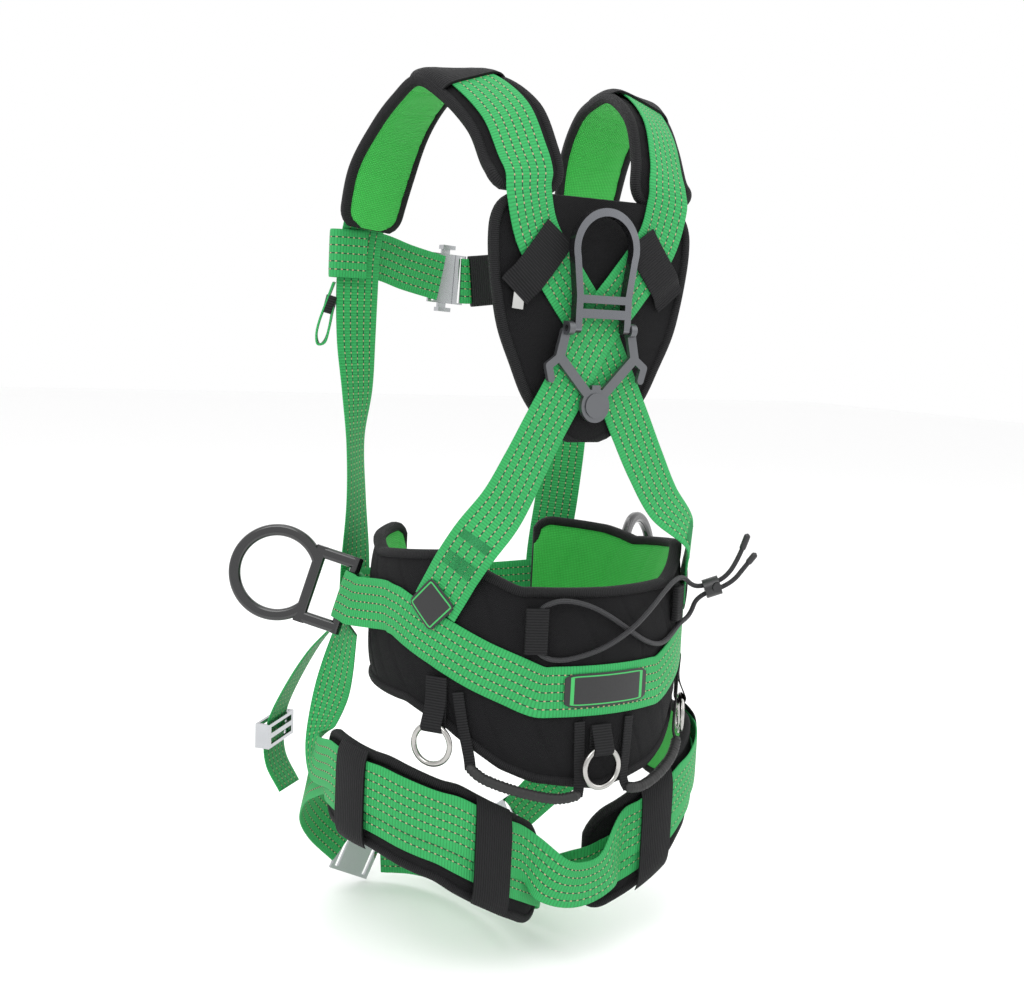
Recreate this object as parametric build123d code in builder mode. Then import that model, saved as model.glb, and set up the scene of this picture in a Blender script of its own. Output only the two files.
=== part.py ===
"""Full-body climbing harness with a padded belt, for work in trees.

Millimetres. +Z is up, the wearer faces -Y and the wearer's left is +X.
The origin is the centre of the waist, at the height of the belt.
"""
from build123d import *
from math import atan2, cos, degrees, radians, sin, sqrt
import os

os.makedirs("parts", exist_ok=True)

# ---- driving dimensions ----
strap_width = 45.0
strap_thick = 2.4
layer_gap = 0.6          # air between two layers of webbing or pad
shoulder_height = 500.0  # waist to the top of the shoulder
pad_thick = 13.0         # shoulder and back pads
pad_width = 70.0         # shoulder pads
back_pad_width = 212.0
belt_half_width = 152.0  # outer face of the belt pad, across the hips
belt_half_depth = 135.0
belt_forward = 33.0      # centre of the belt behind the origin
belt_thick = 16.0
thigh_radius = 106.0     # outer face of a leg pad
thigh_apart = 82.0       # from the middle to the centre of a leg
leg_pad_width = 84.0
leg_pad_thick = 12.0
keeper_thick = 1.6
side_ring_bar = 10.0
side_ring_eye = 34.0     # inner radius
side_ring_reach = 68.0   # pivot to the centre of the eye
side_ring_slot = 52.0
gear_ring_radius = 17.5
gear_ring_wire = 5.0
gear_tab_width = 20.0
dorsal_ring_inner = 28.0
dorsal_ring_bar = 7.0
dorsal_ring_thick = 8.0
plate_thick = 4.0
pin_radius = 2.5
pin_gap = 0.3
cord_diameter = 4.5
grip_diameter = 10.0
buckle_plate = 3.0
slot_gap = 0.6
lever_travel = 4.0

rise = shoulder_height / 500.0


# ---- webbing and pads ----
def facing(turn, tilt=0.0):
    """Direction that a face looks: 0 is forward, 90 the wearer's left."""
    a, b = radians(turn), radians(tilt)
    return Vector(sin(a) * cos(b), -cos(a) * cos(b), sin(b))


def stations(points, width=strap_width, tall=1.0):
    """Place, facing and width for each (x, y, z, turn, tilt[, width])."""
    found = []
    for point in points:
        x, y, z, turn, tilt = point[:5]
        wide = point[5] if len(point) > 5 else width
        found.append((Vector(x, y, z * tall), facing(turn, tilt), wide))
    return found


def flip(found):
    """The same stations on the other side of the wearer."""
    return [(Vector(-p.X, p.Y, p.Z), Vector(-n.X, n.Y, n.Z), w) for p, n, w in found]


def sided(found, side):
    return found if side > 0 else flip(found)


def smooth(found, steps=2):
    """More stations between the given ones, on a curve through them."""
    if len(found) < 3:
        return found
    knots = [0.0]
    for a, b in zip(found, found[1:]):
        knots.append(knots[-1] + sqrt((b[0] - a[0]).length))
    rows = [(p.X, p.Y, p.Z, n.X, n.Y, n.Z, w) for p, n, w in found]
    slopes = []
    for i in range(len(rows)):
        a, b = max(i - 1, 0), min(i + 1, len(rows) - 1)
        slopes.append([(v - u) / (knots[b] - knots[a]) for u, v in zip(rows[a], rows[b])])
    result = []
    for i in range(len(rows) - 1):
        h = knots[i + 1] - knots[i]
        for k in range(steps):
            t = k / steps
            f = (2 * t**3 - 3 * t**2 + 1, (t**3 - 2 * t**2 + t) * h, 3 * t**2 - 2 * t**3, (t**3 - t**2) * h)
            both = zip(rows[i], slopes[i], rows[i + 1], slopes[i + 1])
            x, y, z, u, v, w, wide = [f[0] * a + f[1] * b + f[2] * c + f[3] * d for a, b, c, d in both]
            result.append((Vector(x, y, z), Vector(u, v, w).normalized(), wide))
    return result + [found[-1]]


def sections(found, lift=0.0, upright=()):
    """A plane across the band at each station: X runs across it, Y along its facing.

    Stations listed in upright are cut by a vertical plane, whatever the slope.
    """
    planes = []
    for i, (point, normal, width) in enumerate(found):
        along = (found[min(i + 1, len(found) - 1)][0] - found[max(i - 1, 0)][0]).normalized()
        if i in upright:
            along = Vector(along.X, along.Y, 0).normalized()
        across = normal.cross(along).normalized()
        face = along.cross(across)
        planes.append((Plane(point + face * lift, x_dir=across, z_dir=along), width))
    return planes


def band(found, thick, lift=0.0, width=None, upright=()):
    """A strip through the stations. Lift moves it along its facing."""
    with BuildPart() as strip:
        for plane, wide in sections(found, lift, upright):
            with BuildSketch(plane):
                Rectangle(width or wide, thick)
        loft(ruled=True)
    return strip.part


def tube(points, diameter, radii):
    """A round tube along straight runs joined by arcs."""
    with BuildPart() as hose:
        with BuildLine() as route:
            FilletPolyline(*points, radius=radii)
        with BuildSketch(Plane(route.line @ 0, z_dir=route.line % 0)):
            Circle(diameter / 2)
        sweep()
    return hose.part


def arc_radii(points):
    """For each corner, 0.45 of the shorter run over the tangent of half the turn."""
    radii = []
    for a, b, c in zip(points, points[1:], points[2:]):
        before, after = Vector(b) - Vector(a), Vector(c) - Vector(b)
        half = radians(before.get_angle(after)) / 2
        radii.append(0.45 * min(before.length, after.length) * cos(half) / sin(half))
    return radii


# ---- belt ----
def on_belt(around, z, lift=0.0, width=strap_width, tilt=0.0):
    """A station off the outer face of the belt pad: around is 0 at the back, 90 at the left."""
    a = radians(around)
    out = Vector(sin(a) / belt_half_width, cos(a) / belt_half_depth, 0).normalized()
    x = belt_half_width * sin(a) + out.X * lift
    y = belt_forward + belt_half_depth * cos(a) + out.Y * lift
    return (Vector(x, y, z), facing(degrees(atan2(out.X, -out.Y)), tilt), width)


def between(table, at):
    """Straight-line reading of a short table of (angle, value)."""
    for (a, u), (b, v) in zip(table, table[1:]):
        if at <= b:
            return u + (v - u) * (at - a) / (b - a)
    return table[-1][1]


belt_end = 148
belt_top = [(0, 62), (33, 63), (45, 76), (57, 91), (80, 85), (100, 80), (115, 87), (belt_end, 92)]
belt_bottom = [(0, -117), (25, -107), (36, -96), (58, -62), (75, -48), (belt_end, -42)]
belt_strap_height = [(0, -26), (25, -26), (33, -17), (45, -5), (60, 12), (79, 31), (90, 34)]

pad_row = []
for around in range(-belt_end, belt_end + 1, 4):
    top, bottom = between(belt_top, abs(around)), between(belt_bottom, abs(around))
    pad_row.append(on_belt(around, (top + bottom) / 2, -belt_thick / 2, top - bottom))
with BuildPart() as belt_pad:
    add(band(pad_row, belt_thick, upright=range(len(pad_row))))
belt_pad.part.label = "belt_pad"
export_step(belt_pad.part, "parts/belt_pad.step")

# the pivot of a side ring: bar direction, reach of the ring and its flat side
ring_pivot = Vector(belt_half_width + 4, belt_forward - 67, 29)
ring_bar = Vector(-0.29, 0.05, 0.956).normalized()
ring_lean = Vector(0.791, -0.546, 0.274)
ring_reach = (ring_lean - ring_bar * ring_lean.dot(ring_bar)).normalized()
ring_flat = ring_bar.cross(ring_reach)
fold_radius = side_ring_bar / 2 + 1.5 * slot_gap + strap_thick / 2

# belt webbing: pad to ring, round the bar and back inside itself
belt_lift = layer_gap + strap_thick / 2
belt_row = [on_belt(a, between(belt_strap_height, abs(a)), belt_lift) for a in range(-88, 89, 4)]


def fold_round_bar(side):
    """Stations that leave the belt, pass outside the bar and come back inside it."""
    out = Vector(0, 1, 0).cross(ring_bar).normalized()
    back = ring_bar.cross(out)
    row = [(ring_pivot + out * fold_radius + back * d, out, strap_width) for d in (28, 16, 8)]
    for k in range(7):
        a = radians(30 * k)
        face = out * cos(a) - back * sin(a)
        row.append((ring_pivot + face * fold_radius, face, strap_width))
    inner = out * -1
    row.append((ring_pivot + inner * fold_radius + back * 12, inner, strap_width))
    return sided(row, side)


left_fold, right_fold = fold_round_bar(1), fold_round_bar(-1)
whole_belt = right_fold[::-1] + belt_row + left_fold
with BuildPart() as belt_webbing:
    add(band(whole_belt, strap_thick))
belt_webbing.part.label = "belt_webbing"
export_step(belt_webbing.part, "parts/belt_webbing.step")


# ---- yoke: back pad, shoulder pads and the two straps that cross ----
strap_lift = layer_gap + strap_thick / 2      # middle of the webbing above what it lies on
back_face = 117.0                             # outer face of the back pad
ply = strap_thick + layer_gap
lower_ply = back_face + strap_lift            # the left shoulder's strap lies under the other
upper_ply = lower_ply + ply
edge = back_pad_width / 2

with BuildPart() as back_pad:
    with BuildSketch(Plane.XZ.offset(-back_face)) as outline:
        with BuildLine():
            Spline(
                (edge, 395 * rise), (edge - 2, 340 * rise), (edge - 14, 283 * rise),
                (edge - 42, 226 * rise), (edge - 70, 197 * rise), (0, 186 * rise),
            )
            Spline((0, 384 * rise), (22, 388 * rise), (40, 395 * rise), tangents=((1, 0), (1, 0.8)))
            Line((40, 395 * rise), (edge, 395 * rise))
            mirror(about=Plane.YZ)
        make_face()
    extrude(amount=pad_thick)
back_pad.part.label = "back_pad"
export_step(back_pad.part, "parts/back_pad.step")

# shoulder route for the left side, waist to back: x, y, z, turn, tilt
shoulder_up = [
    (113.8, -102.6, 2, 24, 0), (113.8, -102.6, 46, 26, 0), (118, -97, 110, 40, 0), (122, -95, 168, 42, 0),
    (122, -95, 217, 24, 0), (125, -95, 264, 10, 0), (126, -95, 312, 3, 2), (126, -93, 345, 4, 3),
    (124, -90, 370, 5, 4), (119, -78, 420, 8, 14), (113, -55, 463, 18, 36), (107, -24, 492, 30, 62),
    (100, 10, 505, 60, 84), (93, 46, 497, 120, 70), (83, 88, 468, 152, 42), (77, 110, 432, 166, 16),
    (74, lower_ply - 1.4, 415, 174, 5), (74, lower_ply, 399, 180, 0),
]
over_back = [
    (63, lower_ply, 363, 180, 0), (31, lower_ply, 322, 180, 0),
    (0, lower_ply, 284, 180, 0), (-25, lower_ply, 240, 180, 0), (-47, lower_ply, 200, 180, 0),
    (-66, lower_ply + 1, 165, 184, 0), (-88, lower_ply + 3, 130, 196, 0),
]
over_ply = [0.3, 1, 1, 1, 0.35, 0, 0]    # how far the upper strap stands off, station by station


def hip_end(side):
    """The strap's last stretch, down over the rim of the belt to its stitching."""
    row = [on_belt(48, 102, belt_lift + 3), on_belt(54, 78, belt_lift + 1.4)]
    row.append(on_belt(58, 60, belt_lift + 0.3))
    row.append(on_belt(62, 42, belt_lift + 0.3))
    return sided(row, side)


for side, name in ((1, "left"), (-1, "right")):
    raised = [p[:1] + (p[1] + (ply * k if side < 0 else 0),) + p[2:] for p, k in zip(over_back, over_ply)]
    path = sided(stations(shoulder_up + raised, tall=rise), side) + hip_end(-side)
    woven = smooth(path)
    with BuildPart() as shoulder_strap:
        add(band(woven, strap_thick))
    shoulder_strap.part.label = "shoulder_strap_" + name
    export_step(shoulder_strap.part, "parts/shoulder_strap_" + name + ".step")

    pad_path = stations(shoulder_up[8:], pad_width, rise)
    pad_path[0] = pad_path[0][:2] + (62,)
    pad_path[-1] = (Vector(74, lower_ply, 399 * rise), facing(180), pad_width - 6)
    with BuildPart() as shoulder_pad:
        add(band(smooth(sided(pad_path, side)), pad_thick, lift=-strap_lift - pad_thick / 2 - 0.3))
    shoulder_pad.part.label = "shoulder_pad_" + name
    export_step(shoulder_pad.part, "parts/shoulder_pad_" + name + ".step")

    # black webbing across each strap, stitched to the pad at both ends
    stand = lower_ply + (ply * 1.6 if side < 0 else ply)
    low = back_face + layer_gap + keeper_thick / 2
    crossing = [
        (84, low, 314, 180, 0), (80, low, 319, 180, 0), (73, stand, 327, 180, 0), (60, stand + 0.4, 343, 180, 0),
        (50, stand, 356, 180, 0), (42, stand, 367, 180, 0),
    ]
    with BuildPart() as back_keeper:
        add(band(sided(stations(crossing, 34, rise), side), keeper_thick))
    back_keeper.part.label = "back_keeper_" + name
    export_step(back_keeper.part, "parts/back_keeper_" + name + ".step")

    # ribbed black sleeve round strap and pad at the top of the shoulder
    around_pad = strap_thick / 2 + layer_gap + keeper_thick / 2
    with BuildPart() as shoulder_keeper:
        add(band(woven[25:29], keeper_thick, lift=around_pad, width=pad_width - 4))
    shoulder_keeper.part.label = "shoulder_keeper_" + name
    export_step(shoulder_keeper.part, "parts/shoulder_keeper_" + name + ".step")


# ---- dorsal attachment: plate on the crossing, ring hinged to its lugs ----
plate_back = back_face + layer_gap + 2 * ply + 0.6    # clear of both straps
ring_y = plate_back + dorsal_ring_thick / 2 + 1.2
ring_z = 286 * rise
ring_leg = dorsal_ring_inner - dorsal_ring_bar / 2 + 1.5   # middle of a leg at the hinge
lug_in = ring_leg + dorsal_ring_bar / 2 + slot_gap
lug_thick = 6.0
lug_radius = 6.0
arm_width = 9.0


def slots(points, width):
    """Round-ended bars from point to point, in the current sketch."""
    for (x0, z0), (x1, z1) in zip(points, points[1:]):
        run = Vector(x1 - x0, z1 - z0)
        with Locations(Location(((x0 + x1) / 2, (z0 + z1) / 2), degrees(atan2(run.Y, run.X)))):
            yield run.length, width


lug_x = lug_in + lug_thick / 2
arm = [(0, -66), (40, -25), (lug_x + 2, -4)]
hook = [(40, -25), (51, -33), (48, -44)]
with BuildPart() as dorsal_plate:
    with BuildSketch(Plane.XZ.offset(-plate_back)) as face:
        for hand in (1, -1):
            for points, width in ((arm, arm_width), (hook, 7)):
                for length, wide in slots([(hand * x, z + ring_z) for x, z in points], width):
                    SlotCenterToCenter(length, wide)
        with Locations((0, ring_z - 67)):
            Circle(15)
        with Locations((0, ring_z - 56)):
            Rectangle(arm_width, 14)
    extrude(amount=-plate_thick)
    with BuildSketch(Plane.XZ.offset(-plate_back - plate_thick)):
        with Locations((0, ring_z - 67)):
            Circle(11)
    extrude(amount=-1.2)
    for hand in (1, -1):
        with BuildSketch(Plane.YZ.offset(hand * lug_in)):
            with Locations((ring_y, ring_z)):
                Circle(lug_radius)
            with Locations(((plate_back + ring_y) / 2, ring_z)):
                Rectangle(ring_y - plate_back, 2 * lug_radius)
        extrude(amount=hand * lug_thick)
    with BuildSketch(Plane.YZ):
        with Locations((ring_y, ring_z)):
            Circle(pin_radius + pin_gap)
    extrude(amount=lug_in + 2 * lug_thick, both=True, mode=Mode.SUBTRACT)
dorsal_plate.part.label = "dorsal_plate"
export_step(dorsal_plate.part, "parts/dorsal_plate.step")

ring_top = 104.0                                  # hinge to the top of the ring
eye_outer = dorsal_ring_inner + dorsal_ring_bar
eye_z = ring_top - eye_outer
neck = ring_leg + dorsal_ring_bar / 2
with BuildPart() as dorsal_ring:
    with BuildSketch(Plane.XZ.offset(-ring_y)):
        with Locations((0, ring_z + eye_z)):
            Circle(eye_outer)
        with BuildLine():
            Polyline(
                (-eye_outer, ring_z + eye_z), (-neck, ring_z + 28), (-neck, ring_z),
                (neck, ring_z), (neck, ring_z + 28), (eye_outer, ring_z + eye_z), close=True,
            )
        make_face()
        with Locations((0, ring_z + eye_z)):
            Circle(dorsal_ring_inner, mode=Mode.SUBTRACT)
        inside = neck - dorsal_ring_bar
        with BuildLine():
            Polyline(
                (-dorsal_ring_inner, ring_z + eye_z), (-inside, ring_z + 29), (inside, ring_z + 29),
                (dorsal_ring_inner, ring_z + eye_z), close=True,
            )
        make_face(mode=Mode.SUBTRACT)
        with Locations((0, ring_z + 19.5)):
            Rectangle(2 * inside, 5, mode=Mode.SUBTRACT)
        with Locations((0, ring_z + 4)):
            Rectangle(2 * inside, 10, mode=Mode.SUBTRACT)
    extrude(amount=dorsal_ring_thick / 2, both=True)
    for hand in (1, -1):
        with BuildSketch(Plane.YZ.offset(hand * (neck - dorsal_ring_bar / 2))):
            with Locations((ring_y, ring_z)):
                Circle(dorsal_ring_thick / 2)
        extrude(amount=dorsal_ring_bar / 2, both=True)
        with BuildSketch(Plane.YZ.offset(hand * (neck - 1))):
            with Locations((ring_y, ring_z)):
                Circle(pin_radius)
        extrude(amount=hand * (slot_gap + lug_thick + 1))
dorsal_ring.part.label = "dorsal_ring"
export_step(dorsal_ring.part, "parts/dorsal_ring.step")


# ---- chest strap ----
chest_row = [
    (96, -108, 345, 0, 0), (64, -112, 337, 0, 0), (24, -115, 329, 0, 0),
]
chest_right = [
    (1, -115, 327.5, 0, 0), (-8, -115, 327.5, 0, 0), (-37, -114, 331, 0, 0), (-72, -111, 339, 0, 0),
    (-96, -108, 345, 0, 0),
]
strap_at_chest = Vector(126, -93, 346 * rise)


def chest_loop(side):
    """From the chest strap outside the shoulder strap, round its outer edge and back inside."""
    z = strap_at_chest.Z
    row = [(-2, -7.2, 0), (14, -6.2, 2), (24, -6, 8), (28.9, -3, 50), (29.5, 0, 90)]
    row += [(28.9, 3.6, 130), (24, 6.6, 172), (12, 7, 180), (-4, 6.8, 180)]
    found = [(strap_at_chest + Vector(x, y, -1), facing(turn), strap_width) for x, y, turn in row]
    return sided(found, side)


chest_left_path = stations(chest_row, tall=rise)[::-1] + chest_loop(1)
chest_right_path = stations(chest_right, tall=rise) + chest_loop(-1)
for path, name in ((chest_left_path, "left"), (chest_right_path, "right")):
    with BuildPart() as chest_strap:
        add(band(smooth(path), strap_thick))
    chest_strap.part.label = "chest_strap_" + name
    export_step(chest_strap.part, "parts/chest_strap_" + name + ".step")

# black elastic keeper on the right half
keeper_at = [(-10, -115, 327.5, 0, 0), (-22, -114.6, 329, 0, 0), (-34, -114.1, 330.6, 0, 0)]
with BuildPart() as chest_keeper:
    path = stations(keeper_at, tall=rise)
    outer = strap_thick / 2 + layer_gap + keeper_thick / 2
    add(band(path, strap_thick + 2 * layer_gap + 2 * keeper_thick, width=strap_width + 2 * outer + 2))
    add(band(path, strap_thick + 2 * layer_gap, width=strap_width + 4 * layer_gap), mode=Mode.SUBTRACT)
chest_keeper.part.label = "chest_keeper"
export_step(chest_keeper.part, "parts/chest_keeper.step")


# ---- buckles: a frame on one strap, a tongue on the other, two levers that squeeze in ----
buckle_body = 27.0
tongue_length = 12.0
buckle_tall = strap_width + 14
lever_width = 9.0
lever_tall = 8.0
slide_gap = 0.3          # between a lever and the frame that it slides on


def buckle(place, prefix):
    """The plane's X runs along the strap to the frame side, Y up it, Z away from the wearer."""
    half = buckle_tall / 2
    lever_out = half + lever_travel / 2               # outer end of a lever at rest
    cover = 2 * (lever_out - lever_tall - lever_travel - 2 * slide_gap)
    with BuildPart(place) as frame:
        Box(buckle_body, strap_width + 4, buckle_plate, align=(Align.MIN, Align.CENTER, Align.CENTER))
        with Locations((buckle_body - 5.5, 0)):
            Box(3.6, strap_width + 1, buckle_plate, mode=Mode.SUBTRACT)
        with Locations((0, 0, buckle_plate)):
            Box(15, cover, buckle_plate, align=(Align.MIN, Align.CENTER, Align.CENTER))
    frame.part.label = prefix + "_frame"
    export_step(frame.part, "parts/" + prefix + "_frame.step")
    with BuildPart(place) as tongue:
        with Locations((-slot_gap, 0)):
            Box(tongue_length, strap_width + 4, buckle_plate, align=(Align.MAX, Align.CENTER, Align.CENTER))
        with Locations((-slot_gap - tongue_length + 4.5, 0)):
            Box(3.6, strap_width + 1, buckle_plate, mode=Mode.SUBTRACT)
    tongue.part.label = prefix + "_tongue"
    export_step(tongue.part, "parts/" + prefix + "_tongue.step")
    for hand, name in ((1, "upper"), (-1, "lower")):
        with BuildPart(place) as lever:
            with Locations((lever_width, hand * (lever_out - lever_tall / 2), buckle_plate + slide_gap)):
                Box(lever_width, lever_tall, buckle_plate)
            with Locations((lever_width, hand * (lever_out - 2 * slide_gap), 0)):
                Box(lever_width + 5, 4, 3 * buckle_plate)
        lever.part.label = prefix + "_lever_" + name
        export_step(lever.part, "parts/" + prefix + "_lever_" + name + ".step")


plate_out = strap_thick / 2 + layer_gap + buckle_plate / 2     # buckle plates lie on the outside
chest_place = Plane((8.5, -115 - plate_out, 328.5 * rise), x_dir=(1, 0, 0.05), z_dir=(0, -1, 0))
buckle(chest_place, "chest")

# ---- side rings ----
ring_wide = 11.0
ring_thick = 9.0
ring_end = side_ring_slot / 2 + ring_wide
arm_x = side_ring_slot / 2 + ring_wide / 2
middle_bar = 35.0
for side, name in ((1, "left"), (-1, "right")):
    place = Plane(ring_pivot, x_dir=ring_bar, z_dir=ring_flat)
    if side < 0:
        place = Plane(
            (-ring_pivot.X, ring_pivot.Y, ring_pivot.Z),
            x_dir=(-ring_bar.X, ring_bar.Y, ring_bar.Z),
            z_dir=(ring_flat.X, -ring_flat.Y, -ring_flat.Z),
        )
    across, reach, flat = place.x_dir, place.y_dir, place.z_dir
    with BuildPart() as side_ring:
        with BuildSketch(Plane(place.origin + reach * side_ring_reach, x_dir=across, z_dir=reach)):
            with Locations((side_ring_eye + ring_wide / 2, 0)):
                RectangleRounded(ring_wide, ring_thick, 3.4)
        revolve(axis=Axis(place.origin + reach * side_ring_reach, flat))
        split(bisect_by=Plane(place.origin + reach * middle_bar, z_dir=reach), keep=Keep.TOP)
        for x in (-arm_x, arm_x):
            with BuildSketch(Plane(place.origin + across * x, x_dir=across, z_dir=reach)):
                RectangleRounded(ring_wide, ring_thick, 3.4)
            extrude(amount=middle_bar)
        bar_end = place.origin + reach * middle_bar - across * ring_end
        with BuildSketch(Plane(bar_end, x_dir=reach, z_dir=across)):
            RectangleRounded(ring_wide, ring_thick, 3.4)
        extrude(amount=2 * ring_end)
        with BuildSketch(Plane(place.origin - across * ring_end, z_dir=across)):
            Circle(side_ring_bar / 2)
        extrude(amount=2 * ring_end)
    side_ring.part.label = "side_ring_" + name
    export_step(side_ring.part, "parts/side_ring_" + name + ".step")

# ---- waist straps, in front ----
waist_front = [
    (144.6, -45, 28, 82, 16), (136, -74, 26, 55, 6), (112, -98.6, 20, 22, 0), (72, -113, 16, 9, 0),
    (27, -120, 14, 0, 0),
]
inner_fold = ring_bar.cross(Vector(0, 1, 0)).normalized()
waist_start = ring_pivot + inner_fold * (fold_radius + ply) + Vector(0, 3, 0)
for side, name in ((1, "left"), (-1, "right")):
    path = [(waist_start, inner_fold * -1, strap_width)] + stations(waist_front)
    if side < 0:
        path = path[:-1] + stations([(30, -120, 14, 0, 0), (-4, -120, 14, 0, 0)])
    with BuildPart() as waist_strap:
        add(band(smooth(sided(path, side)), strap_thick))
    waist_strap.part.label = "waist_strap_" + name
    export_step(waist_strap.part, "parts/waist_strap_" + name + ".step")
waist_place = Plane((11.5, -120 - plate_out, 14), x_dir=(1, 0, 0), z_dir=(0, -1, 0))
buckle(waist_place, "waist")


# ---- leg loops ----
leg_height = [(-30, -126), (0, -128), (30, -135), (65, -157), (100, -192), (132, -222)]
pad_from, pad_to = -21, 123


def on_leg(around, lift=0.0, up=0.0, width=strap_width):
    """A station off the outer face of the left leg pad: 0 is the left side, 90 the back."""
    a = radians(around)
    out = Vector(cos(a), sin(a), 0)
    middle = Vector(thigh_apart, 25, between(leg_height, around))
    slope = (between(leg_height, around + 5) - between(leg_height, around - 5)) / radians(10)
    stretch = sqrt(1 + (slope / thigh_radius) ** 2)
    place = middle + out * (thigh_radius + lift) + Vector(0, 0, up * stretch)
    return (place, facing(around + 90), width * stretch)


leg_ply = layer_gap + strap_thick / 2
leg_strap_up, seat_strap_up = -3.0, 14.0
step = 9
leg_pad_row = [on_leg(a, -leg_pad_thick / 2, 0, leg_pad_width) for a in range(pad_from, pad_to + 1, step)]
leg_pad_row[0] = on_leg(pad_from, -leg_pad_thick / 2, 0, leg_pad_width - 26)
leg_pad_row[-1] = on_leg(pad_to, -leg_pad_thick / 2, 0, leg_pad_width - 22)
leg_strap_row = [on_leg(a, leg_ply, leg_strap_up) for a in range(pad_from, pad_to + 1, step)]
to_buckle = stations([
    (175, -60, -152, 52, -2), (164, -90, -182, 40, -4), (138, -113, -214, 22, -4), (104, -122, -246, 8, 0),
])
past_buckle = stations([
    (64, -120, -262, -10, 0), (40, -98, -260, -38, 0), (24, -62, -258, -68, 0), (16, -18, -254, -88, 0),
    (15, 30, -246, -98, 0), (18, 70, -235, -114, 0), (20, 96, -226, -132, 0),
])
leg_strap_path = to_buckle[::-1] + leg_strap_row + past_buckle[::-1]
leg_strap_upright = range(len(to_buckle), len(to_buckle) + len(leg_strap_row))
seat_top = waist_start - ring_bar * (strap_width / 2 + 4.4 * layer_gap)
seat_half = [(seat_top, inner_fold * -1, strap_width)]
seat_half += stations([(158, -50, -58, 108, 4), (170, -49, -98, 100, 8), (186, -28, -119, 86, 4)])
on_pad = [on_leg(a, leg_ply + ply, seat_strap_up) for a in range(-3, 106, step)]
seat_upright = list(range(len(seat_half), len(seat_half) + len(on_pad)))
seat_half += on_pad
seat_half += stations([(30, 146, -204, 172, -6)])
seat_path = seat_half + stations([(0, 148, -212, 180, -8)]) + flip(seat_half)[::-1]
seat_upright += [len(seat_path) - 1 - i for i in seat_upright]
with BuildPart() as seat_strap:
    add(band(seat_path, strap_thick, upright=seat_upright))
seat_strap.part.label = "seat_strap"
export_step(seat_strap.part, "parts/seat_strap.step")

leg_place = Plane((86, -124 - plate_out, -258), x_dir=(0.91, 0, 0.42), z_dir=(0, -1, 0))
riser_row = stations([
    (138, -78, -0.6, 54, 0), (160, -96, -36, 50, 4), (182, -110, -86, 46, 6), (188, -116, -116, 42, 0),
    (186, -116, -146, 42, -8), (176, -104, -172, 42, -10),
])
slide_wide = strap_width + 12
slide_long = 24.0
slide_room = 3.0
slide_deep = strap_thick + 2 * slide_room + 2 * buckle_plate
for side, name in ((1, "left"), (-1, "right")):
    with BuildPart() as leg_pad:
        add(band(sided(leg_pad_row, side), leg_pad_thick, upright=range(len(leg_pad_row))))
    leg_pad.part.label = "leg_pad_" + name
    export_step(leg_pad.part, "parts/leg_pad_" + name + ".step")

    with BuildPart() as leg_strap:
        add(band(sided(leg_strap_path, side), strap_thick, upright=leg_strap_upright))
    leg_strap.part.label = "leg_strap_" + name
    export_step(leg_strap.part, "parts/leg_strap_" + name + ".step")

    with BuildPart() as front_riser:
        add(band(smooth(sided(riser_row, side)), strap_thick))
    front_riser.part.label = "front_riser_" + name
    export_step(front_riser.part, "parts/front_riser_" + name + ".step")

    # three-bar slide on the riser
    at, face, _ = smooth(sided(riser_row, side))[6]
    before, after = smooth(sided(riser_row, side))[5][0], smooth(sided(riser_row, side))[7][0]
    along = (after - before).normalized()
    with BuildPart(Plane(at, x_dir=face.cross(along), z_dir=face)) as leg_slide:
        Box(slide_wide, slide_long, slide_deep)
        Box(strap_width + 2 * slide_room, slide_long, strap_thick + 2 * slide_room, mode=Mode.SUBTRACT)
        with GridLocations(0, slide_long / 2 - 1, 1, 2):
            Box(strap_width + 2 * layer_gap, slide_long / 4, 2 * slide_deep, mode=Mode.SUBTRACT)
    leg_slide.part.label = "leg_slide_" + name
    export_step(leg_slide.part, "parts/leg_slide_" + name + ".step")

    # black sleeves round pad and webbing
    for around, mark in ((16, "front"), (86, "back")):
        row = [on_leg(around + d, leg_ply + 2 * ply, 2, 78) for d in (-8, 0, 8)]
        with BuildPart() as leg_keeper:
            add(band(sided(row, side), keeper_thick, upright=range(3)))
        leg_keeper.part.label = "leg_keeper_" + mark + "_" + name
        export_step(leg_keeper.part, "parts/leg_keeper_" + mark + "_" + name + ".step")

    # front buckle of the leg loop
    mirrored = leg_place if side > 0 else Plane(
        (-leg_place.origin.X, leg_place.origin.Y, leg_place.origin.Z),
        x_dir=(-leg_place.x_dir.X, 0, leg_place.x_dir.Z), z_dir=(0, -1, 0),
    )
    with BuildPart(mirrored) as leg_buckle:
        Box(46, strap_width + 8, buckle_plate)
        with GridLocations(34, 0, 2, 1):
            Box(4, strap_width + 1, buckle_plate, mode=Mode.SUBTRACT)
        with Locations((0, 0, buckle_plate)):
            Box(20, strap_width, buckle_plate)
    leg_buckle.part.label = "leg_buckle_" + name
    export_step(leg_buckle.part, "parts/leg_buckle_" + name + ".step")


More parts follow.
